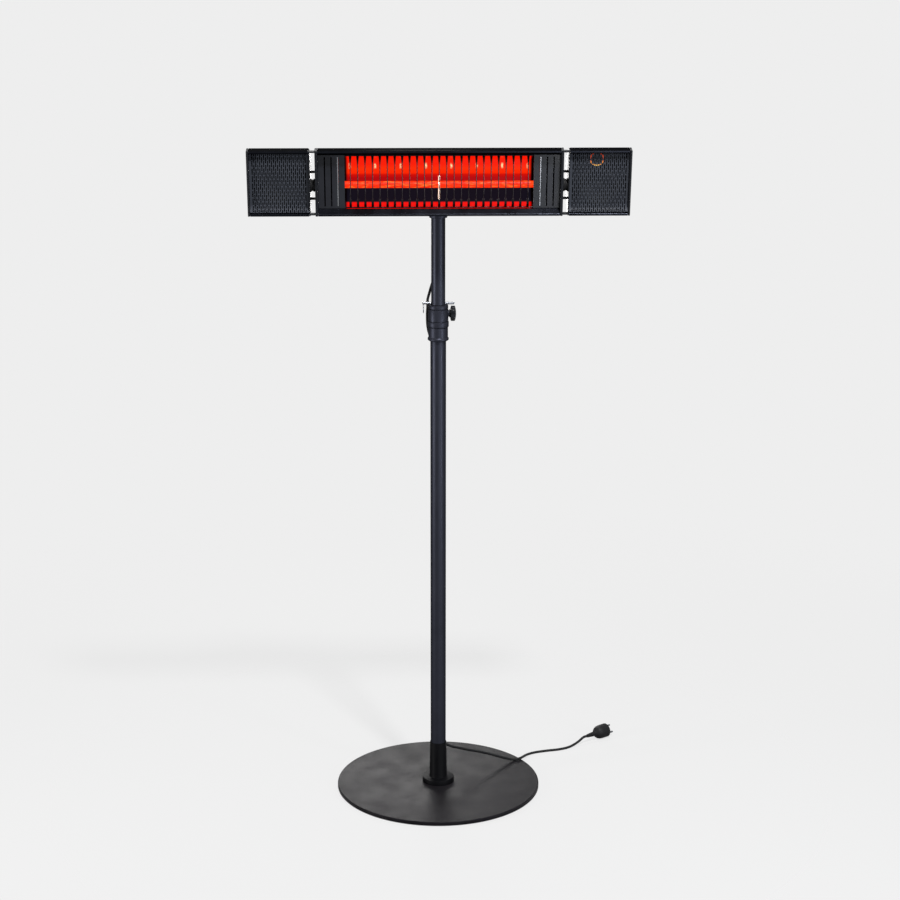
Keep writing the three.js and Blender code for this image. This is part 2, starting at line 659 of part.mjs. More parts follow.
function makeLamp(group) {
  const half = LAMP_LENGTH / 2;
  const place = (geometry) => moved(alongX(geometry), 0, LAMP_DEPTH, -LAMP_DROP);
  const glass = tube(LAMP_RADIUS, LAMP_RADIUS - LAMP_WALL, -half, half, 24);
  add(group, "lamp_tube", place(glass), FINISH.quartz());
  add(group, "lamp_filament", place(disc(FILAMENT_RADIUS, -half, half, 12)), FINISH.glow());
  const start = half + SEAT_GAP;
  const cap = () => place(turned(
    [
      [0, start],
      [LAMP_RADIUS + 1.5, start],
      [LAMP_RADIUS + 1.5, start + LAMP_CAP_LENGTH - 3],
      [LAMP_RADIUS - 1.5, start + LAMP_CAP_LENGTH],
      [0, start + LAMP_CAP_LENGTH],
    ],
    24,
  ));
  addPair(group, "lamp_cap", cap, FINISH.ceramic);

  // The strap round the middle of the long lamp stands on the lower slope of the reflector.
  const reach = SUPPORT_WIDTH / 2;
  const ringInner = LAMP_RADIUS + SEAT_GAP;
  const ringOuter = ringInner + SUPPORT_WALL;
  const loop = alongX(tube(ringOuter, ringInner, -reach, reach, 24));
  const ears = box(-reach, reach, -1, 1, ringOuter - 0.5, ringOuter + SUPPORT_EARS);
  const slope = offsetLine(reflectorLine(), REFLECTOR_WALL + SEAT_GAP).slice(1, 3);
  const fall = (slope[0][1] - slope[1][1]) / (slope[1][0] - slope[0][0]);
  const floorDrop = slope[0][1] - (LAMP_DEPTH + 1 - slope[0][0]) * fall - LAMP_DROP;
  const stem = box(-reach, reach, -1, 1, -floorDrop, -ringOuter + 0.5);
  const strap = moved(join(loop, ears, stem), 0, LAMP_DEPTH, -LAMP_DROP);
  add(group, "lamp_support", strap, FINISH.brightSteel());
}

// Slotted plates that cover the wiring at both ends of the lamp.
function makeEndPlates(group) {
  const front = BEZEL_DEPTH + BEZEL_LAND + SEAT_GAP;
  const half = FACE_HALF - HOUSING_WALL - SEAT_GAP;
  const inner = LAMP_ROOM / 2;
  const outer = HALF_BODY - SEAT_GAP;
  const pitch = (outer - inner) / (PLATE_SLOTS + 1);
  const slots = Array.from({ length: PLATE_SLOTS }, (_, i) => {
    const x = (inner + outer) / 2 + (i - (PLATE_SLOTS - 1) / 2) * pitch;
    const reach = PLATE_SLOT_WIDTH / 2;
    const depth = front + PLATE_THICKNESS + 2;
    return box(x - reach, x + reach, front - 2, depth, -PLATE_SLOT_HEIGHT / 2, PLATE_SLOT_HEIGHT / 2);
  });
  const plate = () => cut(box(inner, outer, front, front + PLATE_THICKNESS, -half, half), ...slots);
  addPair(group, "end_plate", plate, FINISH.housingCoat);
}

// Upright wires whose ends turn back to two long rods just inside the lips.
function makeGuard(group) {
  const land = FACE_HALF - LIP_HEIGHT - BEZEL_RISE;
  const rodRise = land - SEAT_GAP - GUARD_ROD_RADIUS;
  const rodDepth = BEZEL_DEPTH + BEZEL_LAND + SEAT_GAP + GUARD_ROD_RADIUS;
  const half = LAMP_ROOM / 2 - SEAT_GAP;
  const count = 2 * Math.floor((half - 2 * WIRE_RADIUS) / WIRE_PITCH) + 1;
  const wire = (x) => {
    const turn = [
      [x, rodDepth, rodRise],
      [x, WIRE_DEPTH, rodRise - (rodDepth - WIRE_DEPTH)],
    ];
    const foot = turn.map(([a, b, c]) => [a, b, -c]).reverse();
    return bar([...turn, ...foot], WIRE_RADIUS, 8, 6);
  };
  const wires = Array.from({ length: count }, (_, i) => wire((i - (count - 1) / 2) * WIRE_PITCH));
  const rods = [-1, 1].map((side) =>
    moved(alongX(disc(GUARD_ROD_RADIUS, -half, half, 8)), 0, rodDepth, side * rodRise));
  add(group, "guard_grille", join(...rods, ...wires), FINISH.brightSteel());
}

// ---------- loudspeaker modules ----------
function grilleLine() {
  const depth = WING_BEZEL_DEPTH + BEZEL_LAND + SEAT_GAP;
  const top = FACE_HALF - HOUSING_WALL - SEAT_GAP;
  const steps = 4;
  const arc = Array.from({ length: steps + 1 }, (_, i) => {
    const angle = ((i / steps) * Math.PI) / 3;
    return [
      depth + GRILLE_BEND_RADIUS * (1 - Math.cos(angle)),
      -GRILLE_BEND_START - GRILLE_BEND_RADIUS * Math.sin(angle),
    ];
  });
  return [[depth, top], ...arc].reverse();
}

function makeGrille() {
  const start = WING_BODY_START + SEAT_GAP;
  const end = WING_BODY_END - SEAT_GAP;
  const columns = Math.floor((end - start - SLOT_PITCH_X) / SLOT_PITCH_X);
  const rows = Math.floor((FACE_HALF + GRILLE_BEND_START) / SLOT_PITCH_Z);
  const slots = [];
  for (let c = 0; c < columns; c += 1) {
    const x = WING_MIDDLE + (c - (columns - 1) / 2) * SLOT_PITCH_X;
    const shift = (c % 2) * (SLOT_PITCH_Z / 2);
    for (let r = 0; r < rows; r += 1) {
      const z = -GRILLE_BEND_START + SLOT_PITCH_Z / 2 + shift + r * SLOT_PITCH_Z;
      if (z + SLOT_HEIGHT / 2 > FACE_HALF - LIP_HEIGHT - WING_BEZEL_RISE) continue;
      const [w, h] = [SLOT_WIDTH / 2, SLOT_HEIGHT / 2];
      slots.push(box(x - w, x + w, 0, BAFFLE_DEPTH - 2, z - h, z + h));
    }
  }
  return cut(alongLength(sheet(grilleLine(), GRILLE_WALL), start, end), ...slots);
}

function makeSpeaker() {
  const half = FACE_HALF - HOUSING_WALL - SEAT_GAP;
  const slope = (FACE_HALF - REAR_HALF) / (SECTION_DEPTH - TOP_FLAT);
  const baffleHalf = half - Math.max(0, (BAFFLE_DEPTH + BAFFLE_THICKNESS - TOP_FLAT) * slope);
  const start = WING_BODY_START + SEAT_GAP;
  const end = WING_BODY_END - SEAT_GAP;
  const baffle = box(start, end, BAFFLE_DEPTH, BAFFLE_DEPTH + BAFFLE_THICKNESS, -baffleHalf, baffleHalf);
  const back = BAFFLE_DEPTH + BAFFLE_THICKNESS + SPEAKER_DEPTH;
  const driver = turned([
    [0, BAFFLE_DEPTH + 12],
    [10, BAFFLE_DEPTH + 12],
    [SPEAKER_RADIUS - 8, BAFFLE_DEPTH + 1],
    [SPEAKER_RADIUS - 4, BAFFLE_DEPTH - 1],
    [SPEAKER_RADIUS, BAFFLE_DEPTH + 1],
    [SPEAKER_RADIUS, BAFFLE_DEPTH + BAFFLE_THICKNESS + 3],
    [MAGNET_RADIUS, BAFFLE_DEPTH + BAFFLE_THICKNESS + 22],
    [MAGNET_RADIUS, back],
    [0, back],
  ], 28);
  const hole = disc(SPEAKER_RADIUS - 6, BAFFLE_DEPTH - 2, BAFFLE_DEPTH + BAFFLE_THICKNESS + 2, 28);
  const place = (geometry) => moved(alongY(geometry), WING_MIDDLE, 0, -SPEAKER_DROP);
  return join(cut(baffle, place(hole)), place(driver));
}

// Inner plate with the tabs and pegs that bridge the gap to the heater.
function makeInnerPlate() {
  const line = offsetLine([...OUTER_LINE, OUTER_LINE[0]], 0.8).slice(0, -1);
  const plate = alongLength(outline(line), WING_START, WING_START + INNER_PLATE);
  const x0 = HALF_UNIT + SEAT_GAP;
  const x1 = WING_START + 1;
  const tabs = [-1, 1].map((side) => {
    const z = side * (FACE_HALF - 2);
    return box(x0, x1, 2, 14, Math.min(z, z - side * TAB_HEIGHT), Math.max(z, z - side * TAB_HEIGHT));
  });
  const pegs = [-1, 1].map((side) =>
    moved(alongX(disc(PEG_RADIUS, x0, x1, 16)), 0, BRIDGE_DEPTH, side * PEG_SPREAD - BRIDGE_DROP));
  return join(plate, ...tabs, ...pegs);
}

// A ribbed rubber sleeve for the wires between the heater and a module.
function makeCableSleeve() {
  const x0 = HALF_UNIT + SEAT_GAP;
  const x1 = WING_START - SEAT_GAP;
  const middle = (x0 + x1) / 2;
  const profile = [
    [0, x0],
    [15, x0],
    [16.5, x0 + 3],
    [13, middle],
    [16.5, x1 - 3],
    [15, x1],
    [0, x1],
  ];
  return moved(alongX(turned(profile, 28)), 0, BRIDGE_DEPTH, -BRIDGE_DROP);
}

function makeWings(group) {
  const channel = channelOutline(WING_BEZEL_DEPTH, WING_BEZEL_RISE);
  const capShape = outline(OUTER_LINE);
  const body = () => alongLength(channel, WING_BODY_START, WING_BODY_END);
  addPair(group, "wing_housing", body, FINISH.housingCoat);
  addPair(group, "wing_inner_plate", makeInnerPlate, FINISH.blackPlastic);
  const makeCap = () => alongLength(capShape, WING_END - OUTER_CAP, WING_END, 1.8);
  addPair(group, "wing_outer_cap", makeCap, FINISH.blackPlastic);
  addPair(group, "wing_grille", makeGrille, FINISH.housingCoat);
  addPair(group, "speaker", makeSpeaker, FINISH.blackPlastic);
  addPair(group, "cable_sleeve", makeCableSleeve, FINISH.rubber);
  const ring = new THREE.TorusGeometry(STATUS_RING_RADIUS, STATUS_RING_WIRE, 6, 24).rotateX(Math.PI / 2);
  const ringDepth = BAFFLE_DEPTH - SEAT_GAP - STATUS_RING_WIRE;
  add(group, "status_ring", moved(ring, WING_MIDDLE - 6, ringDepth, STATUS_RING_RISE), FINISH.amber());
}

// ---------- junction box, switch and gland ----------
function makeJunctionBox(group) {
  const [x0, x1] = [BOX_LEFT, BOX_LEFT + BOX_LENGTH];
  const front = SECTION_DEPTH + SEAT_GAP;
  const back = front + BOX_DEPTH;
  const h = BOX_HALF_HEIGHT;
  const w = BOX_WALL;
  const shell = box(x0, x1, front, back, -h, h);
  const room = box(x0 + w, x1 - w, front + w, back + 1, -h + w, h - w);
  const glandDepth = front + BOX_DEPTH / 2;
  const glandNeck = 5;
  const glandHole = moved(disc(glandNeck + SEAT_GAP, -h - 2, -h + w + 2, 20), GLAND_X, glandDepth, 0);
  add(group, "junction_box", cut(shell, room, glandHole), FINISH.blackPlastic());

  const lidFront = back + SEAT_GAP;
  const lid = box(x0, x1, lidFront, lidFront + LID_THICKNESS, -h, h);
  const windowX = SWITCH_WIDTH / 2 + RUN_GAP;
  const windowZ = SWITCH_HEIGHT / 2 + 1;
  const window = box(SWITCH_X - windowX, SWITCH_X + windowX, back - 2, back + 8, -windowZ, windowZ);
  const bezel = box(
    SWITCH_X - windowX - 2, SWITCH_X + windowX + 2, lidFront + 1, lidFront + LID_THICKNESS + 1.5,
    -windowZ - 2, windowZ + 2);
  add(group, "junction_box_lid", cut(join(lid, bezel), window), FINISH.blackPlastic());

  const boardX = x0 + w + SEAT_GAP;
  const boardFront = front + w + SEAT_GAP;
  const boardEnd = x1 - w - SEAT_GAP;
  const board = box(boardX, boardEnd, boardFront, boardFront + 1.6, -h + w + SEAT_GAP, h - w - SEAT_GAP);
  const relay = box(boardX + 28, boardX + 46, boardFront + 1, boardFront + 14, 4, 22);
  const terminals = box(GLAND_X - 24, GLAND_X + 6, boardFront + 1, boardFront + 12, 2, 20);
  add(group, "control_board", join(board, relay, terminals), FINISH.board());

  const nut = turned(
    [
      [0, -h - SEAT_GAP - GLAND_LENGTH],
      [CORD_R + 2, -h - SEAT_GAP - GLAND_LENGTH],
      [GLAND_RADIUS, -h - SEAT_GAP - 12],
      [GLAND_RADIUS, -h - SEAT_GAP],
      [glandNeck, -h - SEAT_GAP],
      [glandNeck, -h + w + 3],
      [0, -h + w + 3],
    ],
    20,
  );
  add(group, "cord_gland", moved(nut, GLAND_X, glandDepth, 0), FINISH.blackPlastic());
  return { lidFront };
}

function makeSwitch(group, lidFront) {
  const half = SWITCH_HEIGHT / 2;
  const face = LID_THICKNESS + 1.5;
  const profile = outline([
    [-5, half - 1.5],
    [face, half],
    [face - 1, 0],
    [face, -half],
    [-5, -half + 1.5],
  ]);
  const rocker = alongLength(profile, SWITCH_X - SWITCH_WIDTH / 2, SWITCH_X + SWITCH_WIDTH / 2);
  rocker.rotateX(THREE.MathUtils.degToRad(-SWITCH_ANGLE));
  add(group, "power_switch", moved(rocker, 0, lidFront, 0), FINISH.blackPlastic());
}

// Bracket between the back of the housing and the tilt bolt, in the frame of the tilt axis.
function makeBracket(group) {
  const back = -HEAD_REACH + SEAT_GAP;
  const low = HEAD_RISE - REAR_HALF + 2;
  const high = HEAD_RISE + 22;
  const plate = box(-BRACKET_HALF_WIDTH, BRACKET_HALF_WIDTH, back, back + BRACKET_PLATE, low, high);
  const arm = new THREE.Shape();
  arm.moveTo(back + 1, low);
  arm.absarc(0, 0, EYE_RADIUS, -Math.PI * 0.62, Math.PI * 0.3, false);
  arm.lineTo(back + 1, high - 6);
  const web = alongLength(arm, -EYE_WIDTH / 2, EYE_WIDTH / 2, 0, 12);
  const eye = alongX(disc(PIVOT_RADIUS + RUN_GAP, -EYE_WIDTH, EYE_WIDTH, 24));
  add(group, "tilt_bracket", cut(join(plate, web), eye), FINISH.tubeCoat());
}

// ---------- clips, mains lead and plug ----------
// A saddle clip behind a tube, with a hole for the lead.
function makeClip(group, name, tubeRadius, cordY, z) {
  const ring = disc(CORD_R + SEAT_GAP + CLIP_WALL, 0, CLIP_HEIGHT, 20);
  const pad = box(-7, 7, 0, cordY - CORD_R - SEAT_GAP, 0, CLIP_HEIGHT);
  const body = join(moved(ring, 0, cordY, 0), pad);
  const hole = moved(disc(CORD_R + SEAT_GAP, -1, CLIP_HEIGHT + 1, 20), 0, cordY, 0);
  const seat = disc(tubeRadius + SEAT_GAP, -1, CLIP_HEIGHT + 1, 32);
  add(group, name, moved(cut(body, hole, seat), 0, 0, z), FINISH.blackPlastic());
}

const MAST_CLIP_Z = 1390;
const TOP_CLIP_Z = 1056;
const LOW_CLIP_Z = 150;
const WRAP_TOP = 1330;
const WRAP_FOOT = 1236;
const COLLAR_RUN_FOOT = 1070;

// The lead's route, in millimetres, from the gland down to the plug.
const HEAD_ROUTE = [
  [-62, -24.9, 1511.1],
  [-62, -21.5, 1491.5],
  [-58, -11, 1473],
  [-45, 7, 1461],
  [-26, 20.5, 1453],
  [-10, 24.5, 1440],
  [-2, 23.4, 1422],
  [0, UPPER_CORD_Y, 1404],
  [0, UPPER_CORD_Y, 1380],
  [0, UPPER_CORD_Y, WRAP_TOP],
];
const WRAP_ROUTE = [
  [0, UPPER_CORD_Y, WRAP_TOP - SEAT_GAP],
  [0, UPPER_CORD_Y, WRAP_TOP - 8],
  [-4, 22.6, 1309],
  [-10.5, 21.4, 1294],
  [-16.5, 19.4, 1278],
  [-21.4, 16.6, 1261],
  [-24.6, 13.6, 1250],
  [-25.4, 12.4, WRAP_FOOT + 6],
  [-25.4, 12.4, WRAP_FOOT + SEAT_GAP],
];
const COLLAR_ROUTE = [
  [-25.4, 12.4, WRAP_FOOT],
  [-25.4, 12.4, WRAP_FOOT - 8],
  [-26.2, 12.4, 1216],
  [-26.2, 13.3, 1200],
  [-25.2, 15.3, 1183],
  [-21.6, 20.3, 1164],
  [-15, 25.7, 1146],
  [-7, 27.8, 1126],
  [-1.5, 25.8, 1107],
  [0, LOWER_CORD_Y, 1090],
  [0, LOWER_CORD_Y, COLLAR_RUN_FOOT],
];
const POLE_FOOT = 160;
const FLOOR_ROUTE = [
  [0, LOWER_CORD_Y, POLE_FOOT],
  [0, LOWER_CORD_Y, 140],
  [3, 26.5, 120],
  [20, 31, 97],
  [66, 52, 74.6],
  [121, 84, 50],
  [171, 106, 26.7],
  [197, 118, 16],
  [214, 125.5, 16],
  [222, 138, 14.4],
  [236, 170, 7.5],
  [256, 192, 3.7],
  [290, 204, 3.5],
  [324, 213, 3.5],
  [352, 228, 4.2],
  [376, 246.5, 10.5],
  [391, 258.2, PLUG_RADIUS],
  [400, 265.2, PLUG_RADIUS],
];

function makeLead(base, mast) {
  add(mast, "cord_head_run", bar(HEAD_ROUTE, CORD_R, 13), FINISH.rubber());
  add(mast, "cord_wrap_run", bar(WRAP_ROUTE, CORD_R, 7), FINISH.rubber());
  add(base, "cord_collar_run", bar(COLLAR_ROUTE, CORD_R, 12), FINISH.rubber());
  const poleTop = [0, LOWER_CORD_Y, COLLAR_RUN_FOOT - SEAT_GAP];
  const poleFoot = [0, LOWER_CORD_Y, POLE_FOOT - 1];
  const poleRun = bar([poleTop, poleFoot], CORD_R, 2);
  add(base, "cord_floor_run", join(poleRun, bar(FLOOR_ROUTE, CORD_R, 34)), FINISH.rubber());
}

// Round two-pin plug lying on the floor at the end of the lead.
function makePlug(group) {
  const [tail, end] = FLOOR_ROUTE.slice(-2).map((p) => new THREE.Vector3(...p));
  const heading = end.clone().sub(tail).normalize();
  const turn = new THREE.Quaternion().setFromUnitVectors(new THREE.Vector3(0, 0, 1), heading);
  const plug = new THREE.Group();
  plug.quaternion.copy(turn);
  plug.position.copy(end);
  const body = turned(
    [
      [0, SEAT_GAP],
      [CORD_R + 1.2, SEAT_GAP],
      [CORD_R + 3.2, RELIEF_LENGTH],
      [PLUG_RADIUS - 4, RELIEF_LENGTH + 6],
      [PLUG_RADIUS - SEAT_GAP, RELIEF_LENGTH + 16],
      [PLUG_RADIUS - SEAT_GAP, RELIEF_LENGTH + PLUG_LENGTH],
      [0, RELIEF_LENGTH + PLUG_LENGTH],
    ],
    24,
  );
  add(plug, "plug_body", body, FINISH.rubber());
  const face = RELIEF_LENGTH + PLUG_LENGTH + SEAT_GAP;
  const carrier = disc(PLUG_RADIUS - 3, face, face + 2, 24);
  const pins = [-1, 1].map((side) =>
    moved(disc(PLUG_PIN_RADIUS, face + 1, face + PLUG_PIN_LENGTH, 12), (side * PLUG_PIN_SPREAD) / 2, 0, 0));
  add(plug, "plug_pins", join(carrier, ...pins), FINISH.brightSteel());
  group.add(plug);
}

// ---------- assembly ----------
const heater = new THREE.Group();
const base = new THREE.Group();
const mast = new THREE.Group();
const head = new THREE.Group();
const section = new THREE.Group();
head.position.z = PIVOT_Z;
head.rotation.x = THREE.MathUtils.degToRad(TILT_ANGLE);
section.position.set(0, -HEAD_REACH - SECTION_DEPTH, HEAD_RISE);
head.add(section);
heater.add(base, mast, head);

makeBase(base);
makeCollar(base);
makeClampKnob(base);
makeClip(base, "cord_clip_upper", LOWER_R, LOWER_CORD_Y, TOP_CLIP_Z);
makeClip(base, "cord_clip_lower", LOWER_R, LOWER_CORD_Y, LOW_CLIP_Z);

makeGlide(mast);
makeMast(mast);
makeTiltKnob(mast);
makePin(mast);
makeClip(mast, "cord_clip_mast", UPPER_R, UPPER_CORD_Y, MAST_CLIP_Z);

makeBracket(head);
makeHousing(section);
makeReflector(section);
makeLamp(section);
makeEndPlates(section);
makeGuard(section);
makeWings(section);
makeSwitch(section, makeJunctionBox(section).lidFront);

makeLead(base, mast);
makePlug(base);

export default heater;
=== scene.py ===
import json
import math

import bpy
from mathutils import Matrix, Vector


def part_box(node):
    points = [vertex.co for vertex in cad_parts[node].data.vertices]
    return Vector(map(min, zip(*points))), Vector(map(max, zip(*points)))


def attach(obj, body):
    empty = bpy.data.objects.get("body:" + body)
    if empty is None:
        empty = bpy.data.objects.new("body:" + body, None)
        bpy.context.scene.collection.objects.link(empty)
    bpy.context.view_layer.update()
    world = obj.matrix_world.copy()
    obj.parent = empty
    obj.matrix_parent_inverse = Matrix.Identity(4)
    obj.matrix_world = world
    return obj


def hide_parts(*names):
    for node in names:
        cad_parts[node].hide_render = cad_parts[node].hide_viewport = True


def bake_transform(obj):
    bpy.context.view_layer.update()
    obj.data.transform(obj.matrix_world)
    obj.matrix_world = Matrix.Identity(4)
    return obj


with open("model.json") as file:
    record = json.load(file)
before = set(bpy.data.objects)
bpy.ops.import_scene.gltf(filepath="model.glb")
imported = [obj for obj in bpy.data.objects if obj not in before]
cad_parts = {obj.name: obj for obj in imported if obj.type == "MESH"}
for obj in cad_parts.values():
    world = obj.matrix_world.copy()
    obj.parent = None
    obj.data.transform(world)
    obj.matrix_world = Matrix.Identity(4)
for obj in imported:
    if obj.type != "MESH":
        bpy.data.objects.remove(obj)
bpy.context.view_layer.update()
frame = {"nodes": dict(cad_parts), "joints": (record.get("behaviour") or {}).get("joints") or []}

bl_info = {
    "name": "Infrared patio heater",
    "version": (1, 0, 0),
    "blender": (4, 5, 0),
    "location": "3D View > Sidebar > Heater",
    "description": "Models and finishes an infrared patio heater on a telescopic mast",
    "category": "Object",
}

MM = 0.001
WELD = 0.002 * MM  # vertices nearer than this are one
ROUND = 96  # segments of a large round piece
SMALL_ROUND = 48
TINY_ROUND = 24
SMOOTH_ANGLE = math.radians(32)  # edges sharper than this stay sharp

# ---------- places taken from the frame ----------
JOINTS = {joint["name"]: joint for joint in frame["joints"]}
PIVOT = Vector(JOINTS["head_tilt"]["pos_m"])
STORED_TILT = math.radians(10)
SECTION_ORIGIN = Vector((0, -133 * MM, 40 * MM))  # middle of the heater's face, from the tilt axis
# In the section's own frame Y is the depth behind the face and Z the height from its middle.
SECTION = (Matrix.Translation(PIVOT) @ Matrix.Rotation(STORED_TILT, 4, "X")
           @ Matrix.Translation(SECTION_ORIGIN))


def section_box(node):
    """The lowest and highest corner of a head node, in the section's own frame."""
    back = SECTION.inverted()
    points = [back @ vertex.co for vertex in frame["nodes"][node].data.vertices]
    low = Vector(min(point[i] for point in points) for i in range(3))
    high = Vector(max(point[i] for point in points) for i in range(3))
    return low, high


# ---------- modelling ----------
ALONG_X = Matrix.Rotation(math.pi / 2, 4, "Y")  # turns what was made along Z
ALONG_Y = Matrix.Rotation(-math.pi / 2, 4, "X")
MIRROR_X = Matrix.Scale(-1, 4, (1, 0, 0))


def deselect():
    bpy.ops.object.select_all(action="DESELECT")


def select_only(piece):
    deselect()
    piece.select_set(True)
    bpy.context.view_layer.objects.active = piece


def named(name):
    """Names the piece that was just made, and its mesh."""
    piece = bpy.context.object
    piece.name = name
    piece.data.name = name
    return piece


def draw_line(name, points):
    """Draws a chain of edges, vertex by vertex, and leaves it selected in edit mode."""
    deselect()
    bpy.ops.mesh.primitive_plane_add(size=MM)
    piece = named(name)
    bpy.ops.object.mode_set(mode="EDIT")
    bpy.ops.mesh.select_all(action="SELECT")
    bpy.ops.mesh.merge(type="CENTER")
    places = [Vector(point) for point in points]
    bpy.ops.transform.translate(value=places[0])
    for before, after in zip(places, places[1:]):
        bpy.ops.mesh.extrude_region_move(TRANSFORM_OT_translate={"value": after - before})
    bpy.ops.mesh.select_all(action="SELECT")
    bpy.ops.mesh.remove_doubles(threshold=WELD)
    return piece


def close_shell():
    """Merges doubles, turns the faces outwards and leaves edit mode."""
    bpy.ops.mesh.select_all(action="SELECT")
    bpy.ops.mesh.remove_doubles(threshold=WELD)
    bpy.ops.mesh.normals_make_consistent(inside=False)
    bpy.ops.object.mode_set(mode="OBJECT")


def smooth(piece):
    """Smooths the shading but keeps sharp edges."""
    select_only(piece)
    bpy.ops.object.shade_smooth_by_angle(angle=SMOOTH_ANGLE)
    return piece


def turned(name, profile, segments=ROUND):
    """A profile of radii and heights spun once round the Z axis; a profile off the axis is closed first."""
    on_axis = profile[0][0] == 0 and profile[-1][0] == 0
    loop = profile if on_axis else [*profile, profile[0]]
    piece = draw_line(name, [(radius, 0, height) for radius, height in loop])
    bpy.ops.mesh.spin(steps=segments, angle=math.tau, center=(0, 0, 0), axis=(0, 0, 1))
    close_shell()
    return smooth(piece)


def arc(radius, height, wide, tall, first, last, steps):
    """Profile points on an elliptical arc about a radius and a height, between two angles in degrees."""
    angles = [math.radians(first + (last - first) * index / steps) for index in range(steps + 1)]
    return [(radius + wide * math.cos(angle), height + tall * math.sin(angle)) for angle in angles]


def rib(inner, outer, start, rise, fall, end):
    """Profile points of a raised ring: its root, its crest from rise to fall, and its root again."""
    return [(inner, start), (outer, start + rise), (outer, start + fall), (inner, start + end)]


def extruded(name, outline, start, end):
    """A closed outline of depths and heights, drawn at start and pulled along X to end."""
    piece = draw_line(name, [(start, depth, height) for depth, height in [*outline, outline[0]]])
    bpy.ops.mesh.edge_face_add()
    bpy.ops.mesh.extrude_region_move(TRANSFORM_OT_translate={"value": (end - start, 0, 0)})
    close_shell()
    return piece


def block(name, low, high):
    """A box between two corners, for a plain part of a bigger piece."""
    deselect()
    low, high = Vector(low), Vector(high)
    bpy.ops.mesh.primitive_cube_add(size=1, location=(low + high) / 2, scale=high - low)
    piece = named(name)
    bpy.ops.object.transform_apply(location=True, rotation=True, scale=True)
    return piece


def cylinder(name, radius, length, sides=32):
    """A cylinder along the Z axis, for a drill or a nut's blank."""
    deselect()
    bpy.ops.mesh.primitive_cylinder_add(vertices=sides, radius=radius, depth=length)
    return named(name)


def wire_ring(name, outer, wire, sides):
    """A ring of round wire about the Z axis, from its outer radius and the wire's."""
    deselect()
    bpy.ops.mesh.primitive_torus_add(major_radius=outer - wire, minor_radius=wire, major_segments=64,
                                     minor_segments=sides)
    return named(name)


def apply_modifier(piece, kind, **settings):
    """Adds a modifier with its settings and applies it."""
    select_only(piece)
    bpy.ops.object.modifier_add(type=kind)
    modifier = piece.modifiers[-1]
    for setting, value in settings.items():
        setattr(modifier, setting, value)
    bpy.ops.object.modifier_apply(modifier=modifier.name)
    return piece


def rounded(piece, width, segments=2):
    """Rounds the sharp edges and smooths the shading."""
    apply_modifier(piece, "BEVEL", width=width, segments=segments, limit_method="ANGLE",
                   angle_limit=SMOOTH_ANGLE)
    return smooth(piece)


def repeated(piece, count, offset):
    """Makes the piece a row of itself, each copy moved on by the offset."""
    return apply_modifier(piece, "ARRAY", count=count, use_relative_offset=False, use_constant_offset=True,
                          constant_offset_displace=offset)


def placed(piece, matrix):
    """Moves the piece and puts its place in its mesh."""
    select_only(piece)
    piece.matrix_world = matrix @ piece.matrix_world
    bpy.ops.object.transform_apply(location=True, rotation=True, scale=True)
    if matrix.determinant() < 0:
        bpy.ops.object.mode_set(mode="EDIT")
        close_shell()
    return piece


def copied(piece, name, matrix):
    """A copy with its own mesh, moved by the matrix."""
    select_only(piece)
    bpy.ops.object.duplicate(linked=False)
    return placed(named(name), matrix)


def mirrored(piece, name):
    """A copy for the other end of the heater."""
    return copied(piece, name, SECTION @ MIRROR_X @ SECTION.inverted())


def joined(name, *pieces):
    """One piece from several, which are used up."""
    deselect()
    for piece in pieces:
        piece.select_set(True)
    bpy.context.view_layer.objects.active = pieces[0]
    if len(pieces) > 1:
        bpy.ops.object.join()
    return named(name)


def drilled(piece, *tools):
    """Cuts the tools' shapes out of the piece and deletes the tools."""
    for tool in tools:
        apply_modifier(piece, "BOOLEAN", operation="DIFFERENCE", solver="EXACT", object=tool)
        select_only(tool)
        bpy.ops.object.delete()
    return piece


def rod(name, points, radius, sides):
    """A round wire along a line of points, with closed ends."""
    deselect()
    bpy.ops.curve.primitive_bezier_curve_add()
    piece = named(name)
    line = piece.data
    line.splines.clear()
    spline = line.splines.new("POLY")
    spline.points.add(len(points) - 1)
    for point, place in zip(spline.points, points):
        point.co = (*place, 1)
    line.bevel_depth = radius
    line.bevel_resolution = (sides - 4) // 2
    line.use_fill_caps = True
    bpy.ops.object.convert(target="MESH")
    return smooth(named(name))


def shift(x=0.0, y=0.0, z=0.0):
    return Matrix.Translation((x, y, z))


def through(points, per_span):
    """Points along a smooth curve through the given ones (a centripetal Catmull-Rom spline)."""
    places = [Vector(point) for point in points]
    ends = [places[0] * 2 - places[1], *places, places[-1] * 2 - places[-2]]
    line = []
    for a, b, c, d in zip(ends, ends[1:], ends[2:], ends[3:]):
        ta, tb = 0.0, math.sqrt((b - a).length)
        tc = tb + math.sqrt((c - b).length)
        td = tc + math.sqrt((d - c).length)
        for step in range(per_span):
            t = tb + (tc - tb) * step / per_span
            ab = a.lerp(b, (t - ta) / (tb - ta))
            bc = b.lerp(c, (t - tb) / (tc - tb))
            cd = c.lerp(d, (t - tc) / (td - tc))
            abc = ab.lerp(bc, (t - ta) / (tc - ta))
            bcd = bc.lerp(cd, (t - tb) / (td - tb))
            line.append(abc.lerp(bcd, (t - tb) / (tc - tb)))
    return [*line, places[-1]]


# ---------- finishes ----------
def linear(hex_colour):
    """An sRGB hex colour as linear red, green and blue."""
    channels = [int(hex_colour[i:i + 2], 16) / 255 for i in (1, 3, 5)]
    return [c / 12.92 if c <= 0.04045 else ((c + 0.055) / 1.055) ** 2.4 for c in channels]


def feed(node, inputs):
    """Gives each of a node's inputs another node's output or a plain value."""
    for socket, source in inputs.items():
        if isinstance(source, bpy.types.NodeSocket):
            node.id_data.links.new(source, node.inputs[socket])
        else:
            node.inputs[socket].default_value = source


